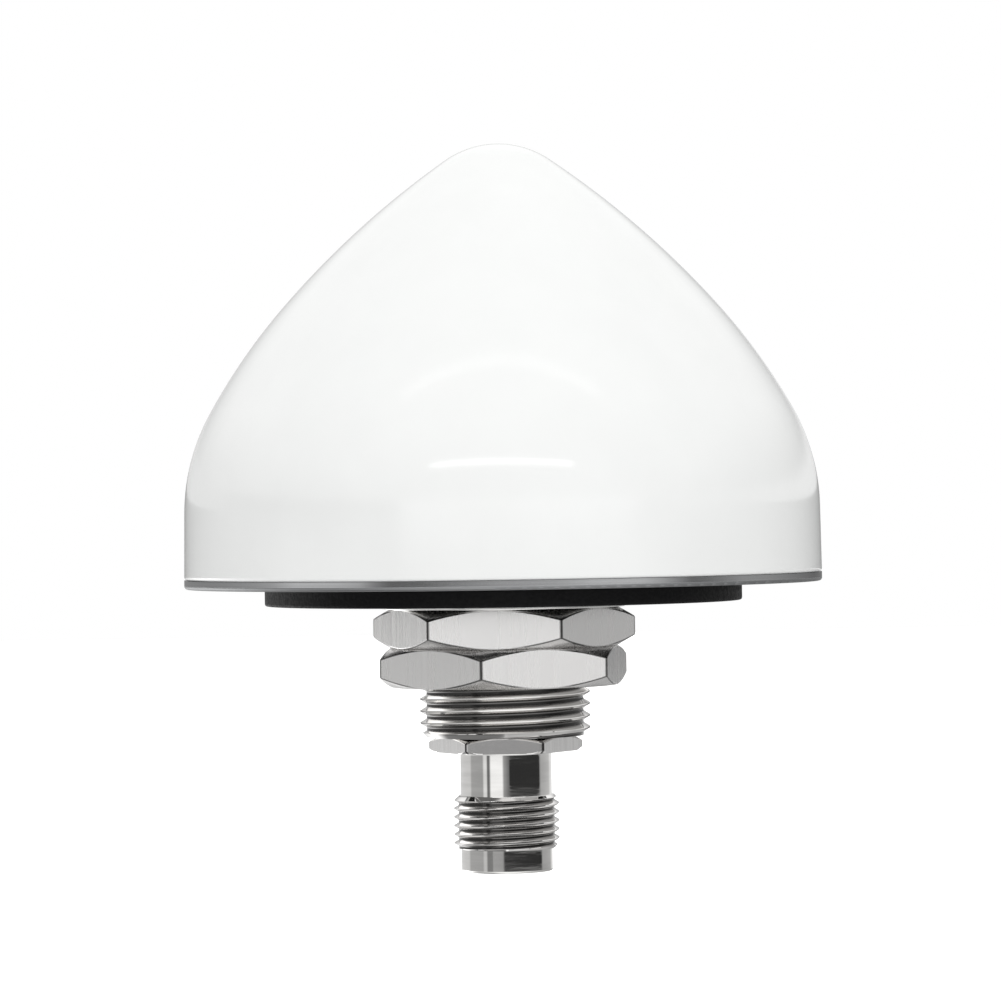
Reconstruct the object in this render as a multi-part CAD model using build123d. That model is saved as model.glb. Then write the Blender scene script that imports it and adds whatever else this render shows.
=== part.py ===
from build123d import *
import os
from math import cos, radians, sin, tan

# Cone-shaped marine antenna for satellite navigation signals. Millimetres, +Z up along the
# axis. The origin is on the axis at the gasket's underside, the plane that seats on the deck.

# Radome: a moulded shell whose outline is a chain of tangent arcs from the apex to the skirt,
# each given as its radius and the angle it turns.
DOME_HEIGHT = 48.3
DOME_RADIUS = 33.5
DOME_ARCS = ((9.77, 34.62), (95.1, 13.84), (63.5, 12.34), (21.92, 28.16))
DOME_WALL = 2.5
DOME_LIP = 0.35
RUNNING_GAP = 0.05

# Base plate: a machined disc with a thin rim under the skirt and a spigot inside it.
GASKET_THICKNESS = 1.9
GASKET_RADIUS = 25.1
GASKET_EDGE = 0.25
GASKET_BORE = 9.25
RIM_THICKNESS = 0.95
RIM_TOP = GASKET_THICKNESS + RIM_THICKNESS
RIM_EDGE = 0.35
SPIGOT_TOP = 6.0
SPIGOT_GAP = 0.2
SPIGOT_RADIUS = DOME_RADIUS - DOME_WALL - SPIGOT_GAP
SPIGOT_CHAMFER = 0.3

# Screws and inserts (M2.5 throughout).
SCREW_RADIUS = 1.25
SCREW_CLEARANCE_RADIUS = 1.4
TAPPED_GAP = 0.03
COUNTERSINK_RADIUS = 2.35
COUNTERSINK_DEPTH = 1.1
SOCKET_FLATS = 1.5
SOCKET_DEPTH = 0.8

# Radome screws stand outside the gasket, in bosses that a rib joins to the wall.
RADOME_SCREW_COUNT = 6
RADOME_SCREW_CIRCLE = 27.6
RADOME_SCREW_FIRST = 30
RADOME_SCREW_LENGTH = 9.0
BOSS_RADIUS = 2.6
BOSS_TOP = 14.0
BOSS_CAP = 1.0
RIB_LENGTH = 5.0
RIB_WIDTH = 2.0
INSERT_RADIUS = 1.9
INSERT_LENGTH = 5.0

# Threaded mounting stub: M18 x 1.25, drawn at its major diameter.
STUB_RADIUS = 8.95
STUB_BOTTOM = -14.0
STUB_BORE = 6.0
STUB_SOCKET_RADIUS = 6.55
STUB_SOCKET_TOP = -6.4
STUB_CHAMFER = 0.8
FLANGE_RADIUS = 15.5
FLANGE_THICKNESS = 2.0
STUB_SCREW_COUNT = 4
STUB_SCREW_CIRCLE = 12.6
STUB_SCREW_FIRST = 45
STUB_SCREW_LENGTH = 4.8
STUB_HOLE_DEPTH = 3.0

# O-rings (cord radius) and the groove or pocket that holds each.
RADOME_SEAL_CORD = 0.6
SEAL_FLOOR_GAP = 0.01
SEAL_GROOVE_DEPTH = 1.05
SEAL_GROOVE_WIDTH = 1.5
STUB_SEAL_CORD = 0.54
STUB_SEAL_POCKET_RADIUS = 10.35
STUB_SEAL_POCKET_DEPTH = 1.1
JACK_SEAL_CORD = 0.44
JACK_SEAL_POCKET_RADIUS = 7.5
JACK_SEAL_POCKET_DEPTH = 0.95

# Clamping hardware on the stub.
WASHER_RADIUS = 12.8
WASHER_BORE = 9.25
WASHER_THICKNESS = 0.5
WASHER_TOOTH_LENGTH = 1.5
WASHER_TOOTH_GAP = 1.6
WASHER_TOOTH_COUNT = 16
NUT_FLATS = 24.0
NUT_HEIGHT = 4.1
NUT_BORE = STUB_RADIUS + RUNNING_GAP
NUT_MOUTH = 0.7
NUT_CHAMFER_ANGLE = 30.0
NUT_FACE_RADIUS = NUT_FLATS / 2 - 0.05
UPPER_NUT_TURN = -4.7
JAM_NUT_TURN = 20.0

# Coaxial jack: 7/16-28 thread, drawn at its major diameter.
HEX_FLATS = 14.0
HEX_THICKNESS = 1.6
HEX_TURN = -1.0
HEX_CUT_DEPTH = 0.45
HEX_CUT_REACH = 0.9
NECK_RADIUS = 4.8
NECK_BOTTOM = -20.2
JACK_THREAD_RADIUS = 5.556
JACK_THREAD_BOTTOM = -25.8
JACK_BOTTOM = -28.2
JACK_EDGE = 0.25
JACK_REAR_RADIUS = STUB_SOCKET_RADIUS - RUNNING_GAP
JACK_REAR_TOP = -6.5
SOCKET_MOUTH_RADIUS = 4.06
SOCKET_FLOOR = -23.0
SOCKET_SEAT_RADIUS = 3.35
INSULATOR_NOSE_RADIUS = 2.4
INSULATOR_NOSE_BOTTOM = -27.8
INSULATOR_TOP = -12.05
CONTACT_RADIUS = 0.68
CONTACT_BORE = 0.46
CONTACT_BOTTOM = -27.3
CONTACT_TOP = -12.6
CONTACT_SLOT = 0.16
CONTACT_SLOT_LENGTH = 2.0
CONTACT_SLOT_DEPTH = 3.5
CONTACT_BORE_DEPTH = 4.1

# Inner cable, from the jack up the stub's bore and along under the board.
CABLE_RADIUS = 0.9
CABLE_CORE_RADIUS = 0.45
FERRULE_TUBE_RADIUS = 1.7
FERRULE_TOP = -1.0
CABLE_BEND = 8.5
CABLE_LEVEL = 12.05
CABLE_JACKET_END = -11.0
CABLE_CORE_END = -12.6
CABLE_RUN = 2.5
CABLE_TAIL = 1.5

# Amplifier board on four hexagon standoffs, with its parts underneath and the patches on top.
BOARD_RADIUS = 24.5
BOARD_BOTTOM = 13.0
BOARD_THICKNESS = 1.6
BOARD_TOP = BOARD_BOTTOM + BOARD_THICKNESS
STANDOFF_COUNT = 4
STANDOFF_CIRCLE = 21.5
STANDOFF_FLATS = 4.6
STANDOFF_STUD_DEPTH = 2.8
STANDOFF_HOLE_SLACK = 0.2
STANDOFF_BORE_DEPTH = 4.5
BOARD_SCREW_LENGTH = 5.5
PAN_HEAD_RADIUS = 2.3
PAN_HEAD_HEIGHT = 1.4
PAN_HEAD_EDGE = 0.5
CAN_LENGTH = 14.5
CAN_WIDTH = 22.0
CAN_HEIGHT = 3.6
CAN_WALL = 0.25
CAN_CORNER = 0.8
CAN_X = 3.5 + CAN_LENGTH / 2

# Parts under the board: (length, width, height) and the (x, y) of each.
FILTER_SIZE = (3.0, 3.0, 1.1)
FILTER_PLACES = [(CAN_X - 2, y) for y in (-6.5, 0.0, 6.5)]
AMPLIFIER_SIZE = (2.0, 2.0, 0.8)
AMPLIFIER_PLACES = [(CAN_X - 2, y) for y in (-3.2, 3.2)]
CAPACITOR_SIZE = (1.0, 0.5, 0.5)
CAPACITOR_PLACES = [(CAN_X + x, y) for x in (-5.0, -2.4) for y in (-9.2, 9.2)]
REGULATOR_SIZE = (6.5, 3.5, 1.6)
REGULATOR_PLACE = (-9.0, 11.0)
REGULATOR_LEG = (0.8, 2.0, 0.4)
REGULATOR_LEG_PITCH = 2.3
REGULATOR_LEG_OUT = 2.6

# Two stacked ceramic patches, each with its silver film, held by adhesive sheets.
LOWER_PATCH_SIZE = 34.0
UPPER_PATCH_SIZE = 25.0
PATCH_THICKNESS = 4.0
TAPE_THICKNESS = 0.2
TAPE_MARGIN = 0.5
FILM_THICKNESS = 0.1
PATCH_CORNER = 0.6
FILM_MARGIN = 2.0
FILM_CORNER_CUT = 2.2
PIN_RADIUS = 0.5
PIN_HEAD_RADIUS = 1.1
PIN_HEAD_HEIGHT = 0.25
PIN_BOTTOM = 12.0
UPPER_PIN = (5.0, 0.0)
LOWER_PIN = (15.0, 0.0)
LOWER_PATCH_BOTTOM = BOARD_TOP + TAPE_THICKNESS
LOWER_PATCH_TOP = LOWER_PATCH_BOTTOM + PATCH_THICKNESS
UPPER_PATCH_BOTTOM = LOWER_PATCH_TOP + FILM_THICKNESS + TAPE_THICKNESS
UPPER_PATCH_TOP = UPPER_PATCH_BOTTOM + PATCH_THICKNESS


def cylinder(radius, bottom, top, x=0.0, y=0.0):
    """A solid round bar that stands on z = bottom."""
    upright = (Align.CENTER, Align.CENTER, Align.MIN)
    return Pos(x, y, bottom) * Cylinder(radius, top - bottom, align=upright)


def cone(bottom_radius, top_radius, bottom, top, x=0.0, y=0.0):
    """A solid frustum that stands on z = bottom."""
    upright = (Align.CENTER, Align.CENTER, Align.MIN)
    return Pos(x, y, bottom) * Cone(bottom_radius, top_radius, top - bottom, align=upright)


def block(length, width, bottom, top, x=0.0, y=0.0):
    """A rectangular solid that stands on z = bottom."""
    upright = (Align.CENTER, Align.CENTER, Align.MIN)
    return Pos(x, y, bottom) * Box(length, width, top - bottom, align=upright)


def hexagon(flats, bottom, top, turn=0.0, x=0.0, y=0.0):
    """A hexagonal bar with one corner turned from +X by turn degrees."""
    corner_radius = flats / 2 / cos(radians(30))
    return Pos(x, y, bottom) * extrude(RegularPolygon(corner_radius, 6, rotation=turn), top - bottom)


def ring_of(count, circle, first=0.0):
    """The (x, y) places of count items, evenly spaced on a circle."""
    angles = [radians(first + 360 * i / count) for i in range(count)]
    return [(circle * cos(a), circle * sin(a)) for a in angles]


def o_ring(centre_radius, cord_radius, z):
    return Pos(0, 0, z) * Torus(centre_radius, cord_radius)


def dome_solid(inset, bottom):
    """The dome's outline, drawn inset from its outer face, turned into a solid above z = bottom."""
    pieces = []
    start = Vector(0, DOME_HEIGHT - inset)
    heading = Vector(1, 0)
    for radius, sweep in DOME_ARCS:
        arc = JernArc(start, heading, radius - inset, -sweep)
        pieces.append(arc)
        start = arc @ 1
        heading = arc % 1
    skirt = Vector(DOME_RADIUS - inset, bottom)
    pieces.append(Line(start, skirt))
    pieces.append(Line(skirt, (0, bottom)))
    pieces.append(Line((0, bottom), (0, DOME_HEIGHT - inset)))
    profile = make_face([edge for piece in pieces for edge in piece.edges()])
    return revolve(Plane.XZ * profile, Axis.Z)


def radome():
    """The shell with six screw bosses, each joined to the wall by a rib."""
    outer = dome_solid(0, RIM_TOP)
    shell = outer - dome_solid(DOME_WALL, RIM_TOP)
    shell = fillet(shell.edges().filter_by(GeomType.CIRCLE).sort_by(Axis.Z)[0], DOME_LIP)
    rib_x = RADOME_SCREW_CIRCLE + RIB_LENGTH / 2
    rib = block(RIB_LENGTH, RIB_WIDTH, SPIGOT_TOP, BOSS_TOP, x=rib_x)
    boss = cylinder(BOSS_RADIUS, SPIGOT_TOP, BOSS_TOP, x=RADOME_SCREW_CIRCLE) + rib
    hole_top = SPIGOT_TOP + INSERT_LENGTH
    hole = cylinder(INSERT_RADIUS + TAPPED_GAP, SPIGOT_TOP, hole_top, x=RADOME_SCREW_CIRCLE)
    hole += cylinder(SCREW_CLEARANCE_RADIUS, hole_top, BOSS_TOP - BOSS_CAP, x=RADOME_SCREW_CIRCLE)
    boss = (boss & outer) - hole
    for i in range(RADOME_SCREW_COUNT):
        shell += Rot(0, 0, 360 * i / RADOME_SCREW_COUNT + RADOME_SCREW_FIRST) * boss
    return shell


def screw_places():
    return ring_of(RADOME_SCREW_COUNT, RADOME_SCREW_CIRCLE, RADOME_SCREW_FIRST)


def radome_inserts():
    top = SPIGOT_TOP + INSERT_LENGTH
    bore = SCREW_RADIUS + TAPPED_GAP
    return [
        cylinder(INSERT_RADIUS, SPIGOT_TOP, top, x, y) - cylinder(bore, SPIGOT_TOP, top, x, y)
        for x, y in screw_places()
    ]


def countersunk_screw(length, x, y):
    """A flat-head screw, its head at z = 0 and its tip at z = length."""
    head = cone(COUNTERSINK_RADIUS, SCREW_RADIUS, 0, COUNTERSINK_DEPTH, x, y)
    drive = hexagon(SOCKET_FLATS, 0, SOCKET_DEPTH, x=x, y=y)
    return head + cylinder(SCREW_RADIUS, COUNTERSINK_DEPTH, length, x, y) - drive


def countersunk_hole(depth, x, y):
    """The hole for such a screw, with a little room round it."""
    mouth = cone(COUNTERSINK_RADIUS + TAPPED_GAP, SCREW_CLEARANCE_RADIUS, 0, COUNTERSINK_DEPTH, x, y)
    return mouth + cylinder(SCREW_CLEARANCE_RADIUS, 0, depth, x, y)


def radome_screws():
    lift = Pos(0, 0, GASKET_THICKNESS)
    return [lift * countersunk_screw(RADOME_SCREW_LENGTH, x, y) for x, y in screw_places()]


def base_plate():
    """Rim and spigot, with the holes for the stub, the screws and the standoffs."""
    rim = cylinder(DOME_RADIUS, GASKET_THICKNESS, RIM_TOP)
    rim = fillet(rim.edges().sort_by(Axis.Z)[0], RIM_EDGE)
    plate = rim + cylinder(SPIGOT_RADIUS, RIM_TOP, SPIGOT_TOP)
    plate = chamfer(plate.edges().sort_by(Axis.Z)[-1], SPIGOT_CHAMFER)
    groove_z = (RIM_TOP + SPIGOT_TOP - SEAL_GROOVE_WIDTH) / 2
    groove = cylinder(SPIGOT_RADIUS + 1, groove_z, groove_z + SEAL_GROOVE_WIDTH)
    groove -= cylinder(SPIGOT_RADIUS - SEAL_GROOVE_DEPTH, groove_z, groove_z + SEAL_GROOVE_WIDTH)
    plate -= groove
    plate -= cylinder(STUB_RADIUS + RUNNING_GAP, 0, SPIGOT_TOP)
    plate -= cylinder(STUB_SEAL_POCKET_RADIUS, SPIGOT_TOP - STUB_SEAL_POCKET_DEPTH, SPIGOT_TOP)
    for x, y in screw_places():
        plate -= Pos(0, 0, GASKET_THICKNESS) * countersunk_hole(SPIGOT_TOP, x, y)
    tapped = SCREW_RADIUS + TAPPED_GAP
    for x, y in ring_of(STUB_SCREW_COUNT, STUB_SCREW_CIRCLE, STUB_SCREW_FIRST):
        plate -= cylinder(tapped, SPIGOT_TOP - STUB_HOLE_DEPTH, SPIGOT_TOP, x, y)
    stud_floor = SPIGOT_TOP - STANDOFF_STUD_DEPTH - STANDOFF_HOLE_SLACK
    for x, y in ring_of(STANDOFF_COUNT, STANDOFF_CIRCLE):
        plate -= cylinder(tapped, stud_floor, SPIGOT_TOP, x, y)
    return plate


def radome_seal():
    centre = SPIGOT_RADIUS - SEAL_GROOVE_DEPTH + RADOME_SEAL_CORD + SEAL_FLOOR_GAP
    return o_ring(centre, RADOME_SEAL_CORD, (RIM_TOP + SPIGOT_TOP) / 2)


def stub_seal():
    centre = (STUB_RADIUS + STUB_SEAL_POCKET_RADIUS) / 2
    return o_ring(centre, STUB_SEAL_CORD, SPIGOT_TOP - STUB_SEAL_POCKET_DEPTH / 2)


def base_gasket():
    """Rubber disc with a slightly rounded rim."""
    disc = cylinder(GASKET_RADIUS, 0, GASKET_THICKNESS)
    disc = fillet(disc.edges(), GASKET_EDGE)
    return disc - cylinder(GASKET_BORE, 0, GASKET_THICKNESS)


def mounting_stub():
    """Hollow stub with a flange inside the housing and a socket for the jack below."""
    flange_top = SPIGOT_TOP + FLANGE_THICKNESS
    stub = cylinder(STUB_RADIUS, STUB_BOTTOM, SPIGOT_TOP)
    stub = chamfer(stub.edges().sort_by(Axis.Z)[0], STUB_CHAMFER)
    stub += cylinder(FLANGE_RADIUS, SPIGOT_TOP, flange_top)
    stub -= cylinder(STUB_BORE, STUB_BOTTOM, flange_top)
    stub -= cylinder(STUB_SOCKET_RADIUS, STUB_BOTTOM, STUB_SOCKET_TOP)
    stub -= cylinder(JACK_SEAL_POCKET_RADIUS, STUB_BOTTOM, STUB_BOTTOM + JACK_SEAL_POCKET_DEPTH)
    for x, y in ring_of(STUB_SCREW_COUNT, STUB_SCREW_CIRCLE, STUB_SCREW_FIRST):
        hole = countersunk_hole(FLANGE_THICKNESS, x, y)
        stub -= Pos(0, 0, flange_top) * Rot(180, 0, 0) * hole
    return stub


def stub_screws():
    flip = Pos(0, 0, SPIGOT_TOP + FLANGE_THICKNESS) * Rot(180, 0, 0)
    places = ring_of(STUB_SCREW_COUNT, STUB_SCREW_CIRCLE, STUB_SCREW_FIRST)
    return [flip * countersunk_screw(STUB_SCREW_LENGTH, x, y) for x, y in places]


def lock_washer():
    """Thin ring with teeth cut round its bore."""
    ring = cylinder(WASHER_RADIUS, -WASHER_THICKNESS, 0)
    ring -= cylinder(WASHER_BORE, -WASHER_THICKNESS, 0)
    gap = block(2 * WASHER_TOOTH_LENGTH, WASHER_TOOTH_GAP, -WASHER_THICKNESS, 0, x=WASHER_BORE)
    for i in range(WASHER_TOOTH_COUNT):
        ring -= Rot(0, 0, 360 * i / WASHER_TOOTH_COUNT) * gap
    return ring


def nut(top, turn):
    """Thin hexagon nut with its corners turned off at both faces and a countersunk bore."""
    bottom = top - NUT_HEIGHT
    blank = hexagon(NUT_FLATS, bottom, top, turn)
    corner_radius = NUT_FLATS / 2 / cos(radians(30))
    drop = (corner_radius - NUT_FACE_RADIUS) * tan(radians(NUT_CHAMFER_ANGLE))
    turned = cone(NUT_FACE_RADIUS, corner_radius, bottom, bottom + drop)
    turned += cylinder(corner_radius, bottom + drop, top - drop)
    turned += cone(corner_radius, NUT_FACE_RADIUS, top - drop, top)
    mouth = cone(NUT_BORE + NUT_MOUTH, NUT_BORE, bottom, bottom + NUT_MOUTH)
    mouth += cone(NUT_BORE, NUT_BORE + NUT_MOUTH, top - NUT_MOUTH, top)
    return (blank & turned) - cylinder(NUT_BORE, bottom, top) - mouth


def connector_body():
    """Jack: rear spigot in the stub, hexagon flange, neck, thread and front barrel."""
    hex_bottom = STUB_BOTTOM - HEX_THICKNESS
    flange = hexagon(HEX_FLATS, hex_bottom, STUB_BOTTOM, HEX_TURN)
    corner_radius = HEX_FLATS / 2 / cos(radians(30))
    cut_bottom = STUB_BOTTOM - HEX_CUT_DEPTH
    turned = cylinder(corner_radius, hex_bottom, cut_bottom)
    turned += cone(corner_radius, corner_radius - HEX_CUT_REACH, cut_bottom, STUB_BOTTOM)
    body = (flange & turned) + cylinder(JACK_REAR_RADIUS, STUB_BOTTOM, JACK_REAR_TOP)
    body += cylinder(NECK_RADIUS, JACK_BOTTOM, hex_bottom)
    body += cylinder(JACK_THREAD_RADIUS, JACK_THREAD_BOTTOM, NECK_BOTTOM)
    body = fillet(body.edges().filter_by(GeomType.CIRCLE).sort_by(Axis.Z)[0], JACK_EDGE)
    body -= cylinder(SOCKET_MOUTH_RADIUS, JACK_BOTTOM, SOCKET_FLOOR)
    return body - cylinder(SOCKET_SEAT_RADIUS, SOCKET_FLOOR, JACK_REAR_TOP)


def connector_seal():
    centre = (JACK_REAR_RADIUS + JACK_SEAL_POCKET_RADIUS) / 2
    return o_ring(centre, JACK_SEAL_CORD, STUB_BOTTOM + JACK_SEAL_POCKET_DEPTH / 2)


def connector_insulator():
    body = cylinder(SOCKET_SEAT_RADIUS - RUNNING_GAP, SOCKET_FLOOR, INSULATOR_TOP)
    body += cylinder(INSULATOR_NOSE_RADIUS, INSULATOR_NOSE_BOTTOM, SOCKET_FLOOR)
    return body - cylinder(CONTACT_RADIUS + TAPPED_GAP, INSULATOR_NOSE_BOTTOM, INSULATOR_TOP)


def center_contact():
    """Socket contact, bored and cross-slotted at its mating end."""
    pin = cylinder(CONTACT_RADIUS, CONTACT_BOTTOM, CONTACT_TOP)
    pin -= cylinder(CONTACT_BORE, CONTACT_BOTTOM, CONTACT_BOTTOM + CONTACT_BORE_DEPTH)
    slot_top = CONTACT_BOTTOM + CONTACT_SLOT_DEPTH
    for length, width in ((CONTACT_SLOT_LENGTH, CONTACT_SLOT), (CONTACT_SLOT, CONTACT_SLOT_LENGTH)):
        pin -= block(length, width, CONTACT_BOTTOM, slot_top)
    return pin


def cable_ferrule():
    """Stepped bush: a plug in the jack's rear and a crimp tube round the cable."""
    plug = cylinder(SOCKET_SEAT_RADIUS - TAPPED_GAP, INSULATOR_TOP + RUNNING_GAP, JACK_REAR_TOP)
    tube = cylinder(FERRULE_TUBE_RADIUS, JACK_REAR_TOP, FERRULE_TOP)
    return plug + tube - cylinder(CABLE_RADIUS + TAPPED_GAP, INSULATOR_TOP, FERRULE_TOP)


def coax_pigtail():
    """Inner cable: straight up the stub, one bend, then along under the board to its pad."""
    bend_start = CABLE_LEVEL - CABLE_BEND
    jacket = cylinder(CABLE_RADIUS, CABLE_JACKET_END, bend_start)
    section = Pos(0, 0, bend_start) * Circle(CABLE_RADIUS)
    jacket += revolve(section, Axis((-CABLE_BEND, 0, bend_start), (0, -1, 0)), 90)
    along = Pos(-CABLE_BEND, 0, CABLE_LEVEL) * Rot(0, -90, 0)
    jacket += along * cylinder(CABLE_RADIUS, 0, CABLE_RUN)
    jacket += along * cylinder(CABLE_CORE_RADIUS, CABLE_RUN, CABLE_RUN + CABLE_TAIL)
    return jacket + cylinder(CABLE_CORE_RADIUS, CABLE_CORE_END, CABLE_JACKET_END)


def circuit_board():
    """Round board, drilled for its screws and the feed pins."""
    board = cylinder(BOARD_RADIUS, BOARD_BOTTOM, BOARD_TOP)
    for x, y in ring_of(STANDOFF_COUNT, STANDOFF_CIRCLE):
        board -= cylinder(SCREW_CLEARANCE_RADIUS, BOARD_BOTTOM, BOARD_TOP, x, y)
    for x, y in (UPPER_PIN, LOWER_PIN):
        board -= cylinder(PIN_RADIUS + TAPPED_GAP, BOARD_BOTTOM, BOARD_TOP, x, y)
    return board


def board_standoffs():
    """Hexagon spacers with a stud below and a tapped hole above."""
    spacers = []
    for x, y in ring_of(STANDOFF_COUNT, STANDOFF_CIRCLE):
        spacer = hexagon(STANDOFF_FLATS, SPIGOT_TOP, BOARD_BOTTOM, x=x, y=y)
        spacer += cylinder(SCREW_RADIUS, SPIGOT_TOP - STANDOFF_STUD_DEPTH, SPIGOT_TOP, x, y)
        hole_bottom = BOARD_BOTTOM - STANDOFF_BORE_DEPTH
        spacers.append(spacer - cylinder(SCREW_RADIUS + TAPPED_GAP, hole_bottom, BOARD_BOTTOM, x, y))
    return spacers


def board_screws():
    """Pan-head screws with a hexagon socket."""
    screws = []
    top = BOARD_TOP + PAN_HEAD_HEIGHT
    for x, y in ring_of(STANDOFF_COUNT, STANDOFF_CIRCLE):
        head = cylinder(PAN_HEAD_RADIUS, BOARD_TOP, top, x, y)
        head = fillet(head.edges().sort_by(Axis.Z)[-1], PAN_HEAD_EDGE)
        shank = cylinder(SCREW_RADIUS, BOARD_TOP - BOARD_SCREW_LENGTH, BOARD_TOP, x, y)
        screws.append(head + shank - hexagon(SOCKET_FLATS, top - SOCKET_DEPTH, top, x=x, y=y))
    return screws


def shield_can():
    """Folded tinplate box, open towards the board."""
    bottom = BOARD_BOTTOM - CAN_HEIGHT
    can = block(CAN_LENGTH, CAN_WIDTH, bottom, BOARD_BOTTOM, x=CAN_X)
    can = fillet(can.edges().filter_by(Axis.Z), CAN_CORNER)
    length, width = CAN_LENGTH - 2 * CAN_WALL, CAN_WIDTH - 2 * CAN_WALL
    inside = block(length, width, bottom + CAN_WALL, BOARD_BOTTOM, x=CAN_X)
    return can - fillet(inside.edges().filter_by(Axis.Z), CAN_CORNER - CAN_WALL)


def chips(size, places):
    """Rectangular parts of one size, hung under the board."""
    length, width, height = size
    bottom = BOARD_BOTTOM - height
    return [block(length, width, bottom, BOARD_BOTTOM, x, y) for x, y in places]


def voltage_regulator():
    """Regulator outside the shield can: body with its three legs."""
    x, y = REGULATOR_PLACE
    legs = [(x + REGULATOR_LEG_PITCH * side, y - REGULATOR_LEG_OUT) for side in (-1, 0, 1)]
    body = chips(REGULATOR_SIZE, [REGULATOR_PLACE])[0]
    for leg in chips(REGULATOR_LEG, legs):
        body += leg
    return body


def ceramic(size, bottom, pins):
    """Square ceramic tile with softened edges, bored for its feed pins."""
    tile = block(size, size, bottom, bottom + PATCH_THICKNESS)
    tile = fillet(tile.edges().filter_by(Axis.Z), PATCH_CORNER)
    for x, y in pins:
        tile -= cylinder(PIN_RADIUS + TAPPED_GAP, bottom, bottom + PATCH_THICKNESS, x, y)
    return tile


def silver_film(size, bottom, pins):
    """Silver electrode with two opposite corners cut off, which sets its polarisation."""
    half = size / 2 - FILM_MARGIN
    cut = FILM_CORNER_CUT
    outline = Polyline(
        (half - cut, half), (half, half - cut), (half, -half), (cut - half, -half),
        (-half, cut - half), (-half, half), (half - cut, half),
    )
    film = Pos(0, 0, bottom) * extrude(make_face(outline), FILM_THICKNESS)
    for x, y in pins:
        film -= cylinder(PIN_RADIUS + TAPPED_GAP, bottom, bottom + FILM_THICKNESS, x, y)
    return film


def patch_tape():
    """Adhesive sheets: board to lower patch, and lower film to upper patch."""
    sheets = []
    for size, bottom, pins in (
        (LOWER_PATCH_SIZE - 2 * TAPE_MARGIN, BOARD_TOP, (UPPER_PIN, LOWER_PIN)),
        (UPPER_PATCH_SIZE - 2 * TAPE_MARGIN, LOWER_PATCH_TOP + FILM_THICKNESS, (UPPER_PIN,)),
    ):
        sheet = block(size, size, bottom, bottom + TAPE_THICKNESS)
        for x, y in pins:
            sheet -= cylinder(PIN_RADIUS + TAPPED_GAP, bottom, bottom + TAPE_THICKNESS, x, y)
        sheets.append(sheet)
    return sheets


def feed_pins():
    """Headed pins soldered to each film and through the board."""
    pins = []
    for (x, y), film_top in (
        (UPPER_PIN, UPPER_PATCH_TOP + FILM_THICKNESS),
        (LOWER_PIN, LOWER_PATCH_TOP + FILM_THICKNESS),
    ):
        head = cylinder(PIN_HEAD_RADIUS, film_top, film_top + PIN_HEAD_HEIGHT, x, y)
        pins.append(head + cylinder(PIN_RADIUS, PIN_BOTTOM, film_top, x, y))
    return pins


NODES = {
    "radome": radome,
    "radome_inserts": radome_inserts,
    "radome_screws": radome_screws,
    "radome_seal": radome_seal,
    "base_plate": base_plate,
    "base_gasket": base_gasket,
    "mounting_stub": mounting_stub,
    "stub_screws": stub_screws,
    "stub_seal": stub_seal,
    "lock_washer": lock_washer,
    "upper_nut": lambda: nut(-WASHER_THICKNESS, UPPER_NUT_TURN),
    "jam_nut": lambda: nut(-WASHER_THICKNESS - NUT_HEIGHT, JAM_NUT_TURN),
    "connector_body": connector_body,
    "connector_seal": connector_seal,
    "connector_insulator": connector_insulator,
    "center_contact": center_contact,
    "cable_ferrule": cable_ferrule,
    "coax_pigtail": coax_pigtail,
    "circuit_board": circuit_board,
    "board_standoffs": board_standoffs,
    "board_screws": board_screws,
    "shield_can": shield_can,
    "filter_chips": lambda: chips(FILTER_SIZE, FILTER_PLACES),
    "amplifier_chips": lambda: chips(AMPLIFIER_SIZE, AMPLIFIER_PLACES),
    "chip_capacitors": lambda: chips(CAPACITOR_SIZE, CAPACITOR_PLACES),
    "voltage_regulator": voltage_regulator,
    "lower_patch": lambda: ceramic(LOWER_PATCH_SIZE, LOWER_PATCH_BOTTOM, (UPPER_PIN, LOWER_PIN)),
    "lower_electrode": lambda: silver_film(LOWER_PATCH_SIZE, LOWER_PATCH_TOP, (UPPER_PIN, LOWER_PIN)),
    "upper_patch": lambda: ceramic(UPPER_PATCH_SIZE, UPPER_PATCH_BOTTOM, (UPPER_PIN,)),
    "upper_electrode": lambda: silver_film(UPPER_PATCH_SIZE, UPPER_PATCH_TOP, (UPPER_PIN,)),
    "patch_tape": patch_tape,
    "feed_pins": feed_pins,
}

os.makedirs("parts", exist_ok=True)
for name, make in NODES.items():
    made = make()
    shape = Compound(children=made) if isinstance(made, list) else made
    export_step(shape, f"parts/{name}.step")
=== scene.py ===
"""Looks of a marine dome antenna: white radome, alloy base, gasket, stub, nuts and coaxial jack.

Every piece is made in metres in the frame's own axes: the origin is on the antenna's axis at the
gasket's underside and +Z points to the dome's tip.
"""

import logging
import math
from dataclasses import dataclass, field
from enum import Enum
from typing import Optional, Sequence, Union

import bmesh
import bpy
import numpy as np
from mathutils import Euler, Matrix, Vector


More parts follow.
